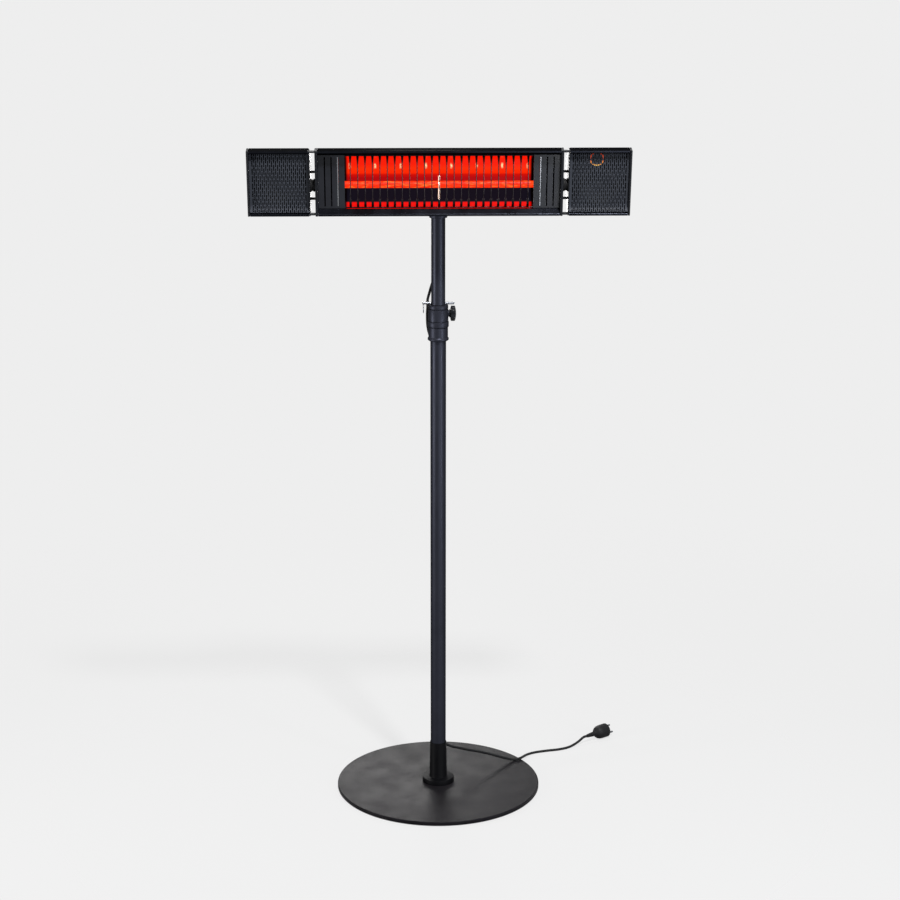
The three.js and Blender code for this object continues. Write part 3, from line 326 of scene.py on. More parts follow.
def add_node(tree, kind, inputs=None, **settings):
    """Adds a node with its own settings and its inputs."""
    node = tree.nodes.new(kind)
    for setting, value in settings.items():
        setattr(node, setting, value)
    feed(node, inputs or {})
    return node


def maths(tree, operation, first, second=0.0):
    return add_node(tree, "ShaderNodeMath", {0: first, 1: second}, operation=operation).outputs[0]


def remap(tree, value, low, high, first=0.0, last=1.0):
    """Turns the range from low to high into that from first to last, and holds it at the ends."""
    ranges = {"Value": value, "From Min": low, "From Max": high, "To Min": first, "To Max": last}
    return add_node(tree, "ShaderNodeMapRange", ranges).outputs[0]


def noise(tree, place, size, detail):
    """Noise whose features have a real size."""
    inputs = {"Vector": place, "Scale": 1 / size, "Detail": detail}
    return add_node(tree, "ShaderNodeTexNoise", inputs).outputs["Fac"]


def object_place(tree):
    return add_node(tree, "ShaderNodeTexCoord").outputs["Object"]


def mapped(tree, place, **inputs):
    """A place moved, turned or stretched by a Mapping node's own inputs."""
    return add_node(tree, "ShaderNodeMapping", {"Vector": place, **inputs}).outputs["Vector"]


def section_place(tree):
    """The section's own coordinates in a material, as separate outputs."""
    level = mapped(tree, mapped(tree, object_place(tree), Location=-PIVOT), Rotation=(-STORED_TILT, 0, 0))
    local = mapped(tree, level, Location=-SECTION_ORIGIN)
    return add_node(tree, "ShaderNodeSeparateXYZ", {"Vector": local}).outputs


def ramp(tree, value, stops):
    """Colours along a value: each stop is a place and the hex colour there."""
    low, high = stops[0][0], stops[-1][0]
    node = add_node(tree, "ShaderNodeValToRGB", {"Fac": remap(tree, value, low, high)})
    node.color_ramp.interpolation = "EASE"
    elements = node.color_ramp.elements
    elements.remove(elements[1])
    for index, (place, colour) in enumerate(stops):
        at = (place - low) / (high - low)
        element = elements.new(at) if index else elements[0]
        element.position = at
        element.color = (*linear(colour), 1)
    return node.outputs["Color"]


def band(tree, value, middle, half, soft):
    """1 within half of the middle, falling to 0 over a soft edge."""
    distance = maths(tree, "ABSOLUTE", maths(tree, "SUBTRACT", value, middle))
    return remap(tree, distance, half, half + soft, 1.0, 0.0)


def bare_finish(name, colour, roughness, metallic=0.0, level=0.5, **sockets):
    """A material with the values that are the same all over it set on the shader's own sockets."""
    material = bpy.data.materials.new(name)
    material.use_nodes = True
    shader = material.node_tree.nodes["Principled BSDF"]
    feed(shader, {"Base Color": (*linear(colour), 1), "Roughness": roughness, "Metallic": metallic,
                  "Specular IOR Level": level, **sockets})
    material.diffuse_color = (*linear(colour), 1)
    return material, material.node_tree, shader


PATCH_GRAINS = 40  # grains across a patch of one tone
GLOSS_SPREAD = 0.06  # how far a patch's roughness lies above or below the finish's own


def grained(name, colour, roughness, grain, depth, tone=0.12, stretch=(1, 1, 1), **sockets):
    """A finish with a grain of a real size that shows in its bump, its tone and its gloss."""
    material, tree, shader = bare_finish(name, colour, roughness, **sockets)
    place = mapped(tree, object_place(tree), Scale=stretch)
    fine = noise(tree, place, grain, 3.0)
    patches = noise(tree, place, PATCH_GRAINS * grain, 2.0)
    bump = add_node(tree, "ShaderNodeBump", {"Height": fine, "Strength": 1.0, "Distance": depth})
    share = remap(tree, maths(tree, "ADD", fine, patches), 0.7, 1.3)
    tones = add_node(tree, "ShaderNodeValToRGB", {"Fac": share})
    middle = Vector(linear(colour))
    dark, light = tones.color_ramp.elements
    dark.color = (*(middle * (1 - tone)), 1)
    light.color = (*(middle * (1 + tone)), 1)
    gloss = remap(tree, patches, 0.3, 0.7, roughness - GLOSS_SPREAD, roughness + GLOSS_SPREAD)
    feed(shader, {"Normal": bump.outputs["Normal"], "Base Color": tones.outputs["Color"], "Roughness": gloss})
    return material


# The lamp's reflection painted on the rolled sheet as glow: millimetres above the middle of the face, and the
# painted colour there, with a painted dark band in the fold.
PAINTED_LAMP_REFLECTION_BY_HEIGHT = (
    (-70, "#d80600"), (-59, "#fa0c04"), (-56.5, "#10121c"), (-35.5, "#10121c"), (-33.5, "#b00406"),
    (-12, "#b40408"), (-5, "#cc0c06"), (2, "#fc2803"), (10, "#fc2c03"), (24, "#fa1c02"), (60, "#e80800"),
)
PAINTED_GLOW_HALF = 211 * MM  # half of the width where the painted glow shows
PAINTED_GLINT_PITCH = 59 * MM  # between the painted glints, small bright marks that stand for sparks of the lamp
# Height of the painted glints above the middle of the face.
PAINTED_GLINT_HEIGHT = 18 * MM


def reflector_finish():
    """Rolled aluminium sheet with the lamp's reflection painted on as glow: painted red above the lamp, a
    painted dark band in the fold below it, and painted glints.
    """
    material, tree, shader = bare_finish("rolled_aluminium_painted_reflection", "#0c090a", 0.34, metallic=1.0)
    place = section_place(tree)
    painted_red = ramp(tree, place["Z"], [(height * MM, colour) for height, colour in PAINTED_LAMP_REFLECTION_BY_HEIGHT])
    # Painted glints: small bright marks in a row along the sheet, with a noise that varies them.
    wrapped = add_node(tree, "ShaderNodeMath", {0: place["X"], 1: PAINTED_GLINT_PITCH, 2: 0.0}, operation="WRAP")
    across = band(tree, wrapped.outputs[0], PAINTED_GLINT_PITCH / 2, 0.8 * MM, 2.6 * MM)
    up = band(tree, place["Z"], PAINTED_GLINT_HEIGHT, 2 * MM, 6 * MM)
    flicker = remap(tree, noise(tree, object_place(tree), 5 * MM, 2.0), 0.35, 0.6)
    painted_glint = maths(tree, "MULTIPLY", maths(tree, "MULTIPLY", across, up), flicker)
    glow = add_node(tree, "ShaderNodeMix", {"Factor": painted_glint, 6: painted_red, 7: (*linear("#fff0b0"), 1)},
                    data_type="RGBA")
    # The painted reflection is emission, which shows only across the lamp's width.
    feed(shader, {"Emission Color": glow.outputs[2],
                  "Emission Strength": band(tree, place["X"], 0.0, PAINTED_GLOW_HALF, 5 * MM)})
    return material


def lamp_finish():
    """A quartz tube round a glowing coil: orange-red all over, with paler streaks where the coil shows."""
    material, tree, shader = bare_finish("glowing_quartz", "#401008", 0.4, level=0.05)
    streaks = noise(tree, mapped(tree, object_place(tree), Scale=(0.25, 1.0, 1.0)), 4 * MM, 3.0)
    glow = ramp(tree, streaks, [(0.3, "#f01400"), (0.5, "#ff3004"), (0.72, "#ff7a30")])
    feed(shader, {"Emission Color": glow, "Emission Strength": 1.0})
    return material


def amber_finish():
    """A moulded light guide that glows yellow at its foot and dull red higher up."""
    material, tree, shader = bare_finish("amber_light_guide", "#802810", 0.35, level=0.1)
    low, high = section_box("status_ring")
    glow = ramp(tree, section_place(tree)["Z"], [
        (low.z, "#ffd878"), (low.z + 5 * MM, "#ffa43c"), (low.z + 16 * MM, "#c8481c"), (high.z, "#8c2c14"),
    ])
    feed(shader, {"Emission Color": glow, "Emission Strength": 1.0})
    return material


def own_light(colour, strength):
    """Sockets of a finish that glows in one colour."""
    return {"Emission Color": (*linear(colour), 1), "Emission Strength": strength}


# Sockets of a dark metal surface that doesn't brighten where it turns away from the eye.
DARK_EDGE = {"Specular Tint": (0.04, 0.04, 0.04, 1)}
FINISHES = {}


def make_finishes(colours):
    """Makes each finish once, from the colours in the panel."""
    FINISHES.update(
        # Satin black coat with fine metal flakes on steel tube: two soft highlights over a faint orange peel,
        # and edges that stay dark.
        tube=grained("satin_flake_coat", colours.tube_coat, 0.42, 1.6 * MM, 0.03 * MM, tone=0.08,
                     metallic=0.6, level=0.03, **DARK_EDGE),
        # Textured powder coat on plate: small hard grains, drawn at 1.4 mm so that they show.
        base=grained("textured_powder_coat", colours.base_coat, 0.46, 1.4 * MM, 0.16 * MM, tone=0.35,
                     metallic=0.35, level=0.14, **DARK_EDGE),
        # The same textured coat on the socket, painted darker as painted shade where it stands in the disc's
        # own dark reflection.
        foot=grained("textured_coat_painted_shade", "#040405", 0.5, 1.4 * MM, 0.06 * MM, tone=0.3, level=0.03),
        # Moulded ABS with a spark-eroded grain: dull.
        black=grained("moulded_abs", colours.moulded, 0.42, 0.8 * MM, 0.05 * MM, tone=0.15, level=0.06),
        # Black anodised aluminium: nearly black at every angle.
        head=grained("black_anodised_aluminium", colours.head_coat, 0.3, 1.2 * MM, 0.02 * MM, metallic=0.9,
                     level=0.02, **DARK_EDGE),
        # Satin coat on the slotted sheets, in the housing's colour but not metallic, so it stays greyer.
        sheet_coat=grained("satin_coat_on_sheet", colours.head_coat, 0.3, 1.2 * MM, 0.02 * MM, level=0.15),
        # Zinc-plated steel, drawn: fine lines along the pin and wires.
        steel=grained("zinc_plated_steel", "#5c5e62", 0.34, 0.6 * MM, 0.01 * MM, tone=0.1,
                      stretch=(0.2, 1, 1), metallic=1.0),
        # Stainless wire darkened by heat.
        wire=grained("heat_darkened_wire", "#1a1819", 0.34, 0.8 * MM, 0.01 * MM, tone=0.2,
                     stretch=(1, 1, 0.2), metallic=1.0),
        # Chloroprene sheath of the mains lead: matt with a faint drawn grain.
        rubber=grained("chloroprene_rubber", "#0b0b0c", 0.6, 0.7 * MM, 0.04 * MM, tone=0.15, level=0.1),
        # Steatite, fired and unglazed.
        ceramic=grained("steatite_ceramic", "#e2dccf", 0.7, 0.5 * MM, 0.02 * MM, tone=0.05),
        # Bright rolled sheet of the lamp holders.
        sheet=grained("bright_aluminium_sheet", "#7c7e81", 0.25, 0.9 * MM, 0.01 * MM, metallic=1.0),
        # Paper cone of the loudspeaker, pressed and dyed.
        cone=grained("pressed_paper_cone", "#101113", 0.8, 0.9 * MM, 0.08 * MM, tone=0.25, level=0.2),
        # Fibreglass circuit board under green solder resist.
        board=grained("solder_resist", "#1d5a34", 0.4, 1.5 * MM, 0.02 * MM, tone=0.2),
        # Satin coat on thin perforated sheet, lighter than the housing.
        grille=grained("satin_coat_on_perforated_sheet", colours.grille, 0.5, 1.2 * MM, 0.02 * MM,
                       level=0.04),
        # Stainless strap, pale; its glow is painted light from the lamp on it.
        strap=grained("stainless_strap_painted_glow", "#d8cfc8", 0.3, 0.8 * MM, 0.01 * MM, tone=0.1, metallic=1.0,
                      **own_light("#ffb478", 0.7)),
        # Resistance wire at full heat.
        coil=bare_finish("glowing_coil", "#ff7a2a", 0.5, **own_light("#ff8a38", 0.9))[0],
        reflector=reflector_finish(),
        lamp=lamp_finish(),
        amber=amber_finish(),
    )


def coat(piece, finish):
    """Gives the piece a finish in place of any other."""
    piece.data.materials.clear()
    piece.data.materials.append(FINISHES[finish])
    return piece


def ride(piece, body, replaces=()):
    """Gives the piece its body and the CAD nodes that it stands for."""
    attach(piece, body)
    if replaces:
        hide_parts(*replaces)
    return piece


def dress(piece, finish, body, replaces=()):
    """Gives the piece its finish and what ride gives it."""
    return ride(coat(piece, finish), body, replaces)


def dress_node(node, finish, edge):
    """Gives a CAD node that stays its finish, and live rounding on its sharp edges."""
    piece = coat(frame["nodes"][node], finish)
    if edge:
        weld = piece.modifiers.new("weld", "WELD")
        weld.merge_threshold = WELD
        flat = piece.modifiers.new("flat", "DECIMATE")
        flat.decimate_type = "DISSOLVE"
        flat.angle_limit = math.radians(1)
        bevel = piece.modifiers.new("rounding", "BEVEL")
        bevel.width, bevel.segments = edge, 2
        bevel.limit_method, bevel.angle_limit = "ANGLE", SMOOTH_ANGLE
        bevel.harden_normals = False


# ---------- settings in the panel ----------
def colour_setting(name, description, hex_colour):
    return bpy.props.StringProperty(name=name, description=description, default=hex_colour)


def length_setting(name, description, metres):
    return bpy.props.FloatProperty(name=name, description=description, default=metres, min=0.0, unit="LENGTH",
                                   precision=5)


class HeaterColours(bpy.types.PropertyGroup):
    """Colours of the coats and mouldings, as sRGB hex."""

    tube_coat: colour_setting("Tube coat", "Powder coat on the mast", "#202127")
    base_coat: colour_setting("Base coat", "Textured coat on the base disc", "#131214")
    moulded: colour_setting("Mouldings", "Knobs, end caps, boxes and clips", "#0c0d10")
    head_coat: colour_setting("Head coat", "Heater and module housings and slotted sheets", "#121317")
    grille: colour_setting("Grille coat", "Perforated grilles of the loudspeaker modules", "#26282d")


class HeaterSizes(bpy.types.PropertyGroup):
    """Sizes of the pieces that are modelled here and not in the frame."""

    grille_pitch: length_setting("Grille pitch", "Between the columns of slots in a grille", 4.5 * MM)
    slot_width: length_setting("Slot width", "Width of a slot in a grille", 2.8 * MM)
    slot_height: length_setting("Slot height", "Length of a slot in a grille", 15.5 * MM)
    slot_step: length_setting("Slot step", "Between the slots of one column", 18 * MM)
    coil_pitch: length_setting("Coil pitch", "Between the turns of the glowing coil", 2.6 * MM)
    lead_diameter: length_setting("Lead diameter", "Outside of the mains lead", 6.5 * MM)


class HeaterStage(bpy.types.PropertyGroup):
    """The studio round the heater."""

    lens: bpy.props.FloatProperty(name="Lens", description="Focal length of the camera", default=86.08,
                                  min=10, unit="CAMERA")
    floor: colour_setting("Floor", "Pale floor and background", "#eeeeee")


# ---------- base ----------
POLE_BORE = 19.3 * MM  # radius of the hole in what fits over the lower pole


class HEATER_OT_base(bpy.types.Operator):
    """Turned base disc with its pole socket"""

    bl_idname = "heater.base"
    bl_label = "Base disc"

    def execute(self, context):
        low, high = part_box("base_plate")
        radius, foot, top, edge = high.x, low.z, high.z, 2.2 * MM
        bolt_hole, recess, recess_top, flat = 6 * MM, 12 * MM, foot + 6 * MM, 60 * MM
        disc = turned("base_disc", [
            (recess, foot), (radius - MM, foot), (radius, foot + MM),
            *arc(radius - edge, top - edge, edge, edge, 0, 90, 6),
            (flat, top), (bolt_hole, top), (bolt_hole, recess_top), (recess, recess_top),
        ], 2 * ROUND)
        dress(disc, "base", "base", ["base_plate"])

        low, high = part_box("pole_socket")
        flange, outer, lip = high.x, 22 * MM, 20.6 * MM
        step = low.z + 12.7 * MM
        socket = turned("socket", [
            (POLE_BORE, low.z), (flange, low.z), (flange, step - 2 * MM),
            (flange - 0.6 * MM, step - 0.6 * MM), (flange - 2 * MM, step), (outer + 2.5 * MM, step),
            (outer + 0.7 * MM, step + 0.7 * MM), (outer, step + 2.5 * MM), (lip, high.z - MM),
            (lip - 0.25 * MM, high.z - 0.2 * MM), (lip - 0.8 * MM, high.z), (POLE_BORE, high.z),
        ])
        dress(socket, "foot", "base", ["pole_socket"])
        return {"FINISHED"}


# ---------- mast ----------
TUBE_WALL = 1.5 * MM
PIN_HOLES, PIN_HOLE_PITCH, PIN_HOLE_RADIUS = 4, 150 * MM, 3.3 * MM


class HEATER_OT_mast(bpy.types.Operator):
    """Lower pole and sliding upper tube with its pin holes"""

    bl_idname = "heater.mast"
    bl_label = "Mast tubes"

    def tube(self, node):
        low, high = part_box(node)
        radius, bore, lip = high.x, high.x - TUBE_WALL, 0.3 * MM
        return turned(node + "_round", [
            (bore, low.z), (radius - lip, low.z), (radius, low.z + lip),
            (radius, high.z - lip), (radius - lip, high.z), (bore, high.z),
        ])

    def execute(self, context):
        dress(self.tube("lower_tube"), "tube", "base", ["lower_tube"])
        upper = self.tube("upper_tube")
        low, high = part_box("locking_pin")
        pin_height = (low.z + high.z) / 2
        for index in range(PIN_HOLES):
            place = shift(z=pin_height - PIN_HOLE_PITCH * index) @ ALONG_X
            drilled(upper, placed(cylinder("drill", PIN_HOLE_RADIUS, 60 * MM), place))
        dress(smooth(upper), "tube", "mast", ["upper_tube"])
        return {"FINISHED"}


class HEATER_OT_collar(bpy.types.Operator):
    """Clamp collar on top of the lower pole: sleeve, body with its screw boss, and rim"""

    bl_idname = "heater.collar"
    bl_label = "Clamp collar"

    def execute(self, context):
        slide = 17.15 * MM  # radius of the hole that the upper tube slides in
        low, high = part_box("collar_sleeve")
        outer, flare = 23.5 * MM, high.x
        sleeve = turned("sleeve", [
            (POLE_BORE, low.z), (outer - 2 * MM, low.z), (flare - 0.6 * MM, low.z + 2 * MM),
            (flare, low.z + 3.2 * MM), (flare, low.z + 6.4 * MM), (flare - 0.7 * MM, low.z + 7.6 * MM),
            (outer, low.z + 9 * MM), (outer, high.z - 0.8 * MM), (outer - 0.8 * MM, high.z),
            (POLE_BORE, high.z),
        ])
        dress(sleeve, "tube", "base", ["collar_sleeve"])

        low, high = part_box("collar_body")
        foot, top, band_top, radius, band = low.z, high.z, low.z + 13.5 * MM, 24.4 * MM, 25.4 * MM
        tube_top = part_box("lower_tube")[1].z + 0.3 * MM
        shell = turned("clamp_body", [
            (POLE_BORE, foot), (band - 1.2 * MM, foot), (band - 0.3 * MM, foot + 0.4 * MM),
            (band, foot + 1.2 * MM), (band, band_top - 1.4 * MM), (band - 0.4 * MM, band_top - 0.5 * MM),
            (radius - MM, band_top), (radius - MM, band_top + 0.7 * MM), (radius, band_top + 1.6 * MM),
            (radius, top - 1.6 * MM), (radius - 0.5 * MM, top - 0.5 * MM), (radius - 1.6 * MM, top),
            (slide, top), (slide, tube_top), (POLE_BORE, tube_top),
        ])
        slit = block("slit", (-40 * MM, -0.9 * MM, foot + 20 * MM), (-18 * MM, 0.9 * MM, top + MM))
        drilled(shell, slit)
        stud_low, stud_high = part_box("clamp_stud")
        start, end, thread, reach = 19 * MM, high.x, 3.4 * MM, 8 * MM
        boss = turned("boss", [
            (thread, start), (reach, start), (reach, end - 0.8 * MM), (reach - 0.8 * MM, end), (thread, end),
        ], SMALL_ROUND)
        placed(boss, shift(z=(stud_low.z + stud_high.z) / 2) @ ALONG_X)
        body = joined("clamp_collar", smooth(shell), boss)
        dress(body, "tube", "base", ["collar_body"])

        low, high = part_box("collar_rim")
        radius = high.x
        rim = turned("collar_lip", [
            (slide, low.z), (radius - 1.2 * MM, low.z), (radius - 0.3 * MM, low.z + 0.8 * MM),
            (radius, low.z + 2 * MM), (radius, high.z - 2.2 * MM), (radius - 0.5 * MM, high.z - 0.9 * MM),
            (radius - 1.8 * MM, high.z), (slide, high.z),
        ])
        dress(rim, "tube", "base", ["collar_rim"])
        return {"FINISHED"}


LOBES = 6
LOBE_DEPTH = 0.113  # of the blank's radius
LOBE_FROM = 0.62  # of the radius, where the lobes begin


class HEATER_OT_knobs(bpy.types.Operator):
    """Lobed hand knobs of the clamp and of the tilt joint"""

    bl_idname = "heater.knobs"
    bl_label = "Hand knobs"

    def knob(self, name, node, bore):
        """A round blank whose rim is drawn out into lobes, with a domed end and a hollow for the stud."""
        low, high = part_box(node)
        radius, length, dome = 16.8 * MM, high.x - low.x, 4.4 * MM
        hub, step = 10 * MM, 2.6 * MM
        blank = turned(name, [
            (bore, 0), (hub - 0.4 * MM, 0), (hub, 0.4 * MM), (hub, step - 0.4 * MM), (radius * 0.7, step),
            (radius * 0.88, step + 0.6 * MM), (radius * 0.97, step + 1.4 * MM), (radius, step + 2.8 * MM),
            *arc(0, length - dome, radius, dome, 0, 80, 8),
            (0, length), (0, length - 4 * MM), (bore, length - 4.4 * MM),
        ], 3 * TINY_ROUND)
        for vertex in blank.data.vertices:
            reach = math.hypot(vertex.co.x, vertex.co.y) / radius
            if reach > LOBE_FROM:
                around = math.atan2(vertex.co.y, vertex.co.x)
                lobed = 1 + LOBE_DEPTH * math.cos(LOBES * around) * min(1, (reach - LOBE_FROM) / 0.3)
                vertex.co.x *= lobed
                vertex.co.y *= lobed
        middle = (low + high) / 2
        placed(blank, shift(low.x, middle.y, middle.z) @ ALONG_X)
        return smooth(blank)

    def execute(self, context):
        clamp = self.knob("clamp_grip", "clamp_knob", 3.3 * MM)
        dress(clamp, "black", "clamp", ["clamp_knob"])
        tilt = self.knob("tilt_grip", "tilt_knob", 4.3 * MM)
        dress(tilt, "black", "tilt_grip", ["tilt_knob"])
        low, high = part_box("clamp_stud")
        radius, length = 3 * MM, high.x - low.x
        stud = turned("stud", [
            (0, 0), (radius - 0.6 * MM, 0), (radius, 0.6 * MM), (radius, length), (0, length),
        ], SMALL_ROUND)
        placed(stud, shift(low.x, 0, (low.z + high.z) / 2) @ ALONG_X)
        dress(stud, "steel", "clamp", ["clamp_stud"])
        return {"FINISHED"}


class HEATER_OT_pin(bpy.types.Operator):
    """Locking pin above the collar with the ring it is pulled by"""

    bl_idname = "heater.pin"
    bl_label = "Locking pin"

    def execute(self, context):
        low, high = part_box("locking_pin")
        radius, height = (high.z - low.z) / 2, (low.z + high.z) / 2
        pin = turned("pin", [
            (0, low.x), (radius - 0.8 * MM, low.x), (radius, low.x + 0.8 * MM),
            (radius, high.x - 3 * MM), (radius * 0.6, high.x - 0.6 * MM), (0, high.x),
        ], SMALL_ROUND)
        placed(pin, shift(z=height) @ ALONG_X)
        ring_low, ring_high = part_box("pull_ring")
        middle = (ring_low + ring_high) / 2
        drilled(pin, placed(cylinder("drill", 1.8 * MM, 12 * MM), shift(middle.x, 0, height) @ ALONG_Y))
        dress(smooth(pin), "steel", "lock", ["locking_pin"])

        wire = (ring_high.x - ring_low.x) / 2
        outer = (ring_high.y - ring_low.y) / 2
        ring = placed(wire_ring("split_ring", outer, wire, 16), Matrix.Translation(middle) @ ALONG_X)
        seam = block("seam", (middle.x - 2 * wire, outer - 3 * wire, middle.z - 0.15 * MM),
                     (middle.x + 2 * wire, outer + wire, middle.z + 0.15 * MM))
        drilled(ring, seam)
        dress(smooth(ring), "steel", "ring", ["pull_ring"])
        return {"FINISHED"}


# ---------- heater ----------
class HEATER_OT_lamp(bpy.types.Operator):
    """Quartz lamp: tube, glowing coil and ceramic caps"""

    bl_idname = "heater.lamp"
    bl_label = "Lamp"

    def execute(self, context):
        low, high = section_box("lamp_tube")
        axis = (low + high) / 2
        radius, half = (high.z - low.z) / 2, high.x
        bore = radius - 1.2 * MM
        place = SECTION @ shift(0, axis.y, axis.z)
        tube = turned("quartz_tube", [
            (bore, -half), (radius, -half), (radius, half), (bore, half),
        ], SMALL_ROUND)
        placed(tube, place @ ALONG_X)
        dress(tube, "lamp", "head", ["lamp_tube"])

        pitch, reach, steps = context.scene.heater_sizes.coil_pitch, 2.6 * MM, 10
        turns = int(2 * (half - 4 * MM) / pitch)
        helix = []
        for index in range(turns * steps + 1):
            angle = math.tau * index / steps
            along = pitch * (index / steps - turns / 2)
            helix.append((along, reach * math.cos(angle), reach * math.sin(angle)))
        coil = placed(rod("heating_coil", helix, 0.45 * MM, 4), place)
        dress(coil, "coil", "head", ["lamp_filament"])

        low, high = section_box("lamp_cap_right")
        outer, length = (high.z - low.z) / 2, high.x - low.x
        groove = outer - 1.2 * MM
        cap = turned("ceramic_cap_right", [
            (0, 0), (outer - 0.5 * MM, 0), (outer, 0.5 * MM), (outer, length * 0.4), (groove, length * 0.43),
            (groove, length * 0.55), (outer, length * 0.58), (outer, length - 3 * MM),
            (outer - 3 * MM, length), (0, length),
        ], SMALL_ROUND)
        placed(cap, place @ shift(low.x) @ ALONG_X)
        other = mirrored(cap, "ceramic_cap_left")
        dress(cap, "ceramic", "head", ["lamp_cap_right"])
        dress(smooth(other), "ceramic", "head", ["lamp_cap_left"])
        return {"FINISHED"}


class HEATER_OT_guard(bpy.types.Operator):
    """Wire guard: upright wires with flattened, turned-back ends on two long rods; the wide flat feet are
    partly painted shadow
    """

    bl_idname = "heater.guard"
    bl_label = "Guard"

    def execute(self, context):
        low, high = section_box("guard_grille")
        wire_radius, rod_radius, pitch, bend = 1.1 * MM, 1.6 * MM, 17 * MM, 4 * MM
        rod_depth, rod_height = high.y - rod_radius, high.z - rod_radius
        front, half = low.y + wire_radius, high.x
        count = 2 * int((half - 2 * wire_radius) / pitch) + 1
        corner = rod_height - (rod_depth - front)
        upright = [
            (0, rod_depth, rod_height), (0, front + 0.3 * bend, corner + 0.3 * bend),
            (0, front, corner - 0.6 * bend),
        ]
        wire = rod("guard_wire", [*upright, *[(x, y, -z) for x, y, z in reversed(upright)]], wire_radius, 8)
        # The end above is pressed to a wedge, and the end below to a flat foot, drawn wider than the wire so
        # that it also stands as painted shadow of the wire on the sheet behind.
        tip, thin, narrow = corner - 9 * MM, 0.5 * MM, 0.28
        wedge = extruded("wedge", [
            (front - thin, tip), (front + thin, tip), (rod_depth + 0.6 * MM, rod_height),
            (rod_depth - 0.6 * MM, rod_height + 0.4 * MM),
        ], -3.4 * MM, 3.4 * MM)
        for vertex in wedge.data.vertices:
            share = max(0.0, min(1.0, (vertex.co.z - tip) / (rod_height - tip)))
            vertex.co.x *= narrow + (1 - narrow) * share
        heel = 12 * MM - corner
        foot = extruded("foot", [
            (front - thin, heel), (front + thin, heel), (front + 0.6 * MM, -corner),
            (rod_depth + 0.6 * MM, -rod_height), (rod_depth - 0.6 * MM, -rod_height), (front - thin, -corner),
        ], -2.9 * MM, 2.9 * MM)
        unit = joined("guard_unit", wire, rounded(wedge, 0.3 * MM, 1), rounded(foot, 0.3 * MM, 1))
        placed(unit, shift(x=-(count - 1) / 2 * pitch))
        repeated(unit, count, (pitch, 0, 0))
        rods = [rod("long_rod", [(-half, rod_depth, height), (half, rod_depth, height)], rod_radius, 16)
                for height in (-rod_height, rod_height)]
        guard = placed(joined("wire_guard", unit, *rods), SECTION)
        dress(guard, "wire", "head", ["guard_grille"])
        return {"FINISHED"}


# ---------- loudspeaker modules ----------
SLOT_CORNERS = 16  # vertices round a slot
SLOT_STEP_ANGLE = math.tau / SLOT_CORNERS
SLOT_SIDE = 0.924  # of the slot's rounding, where its straight sides lie
# Each of the five vertices of a slot's quarter, from its side to its end, has one on the rectangle round it.
# These say how far out and how far up that one lies, as shares of half the rectangle.
CELL_OUT = (1, 1, 1, 0.5, 0)
CELL_UP = (0, 0.5, 1, 1, 1)
SHEET_WALL = 1.1 * MM
SIDE_MARGIN, TOP_MARGIN = 4 * MM, 6 * MM
ROLL_START, ROLL_RADIUS, ROLL_ANGLE, CREASES = -54 * MM, 18 * MM, math.radians(60), 4


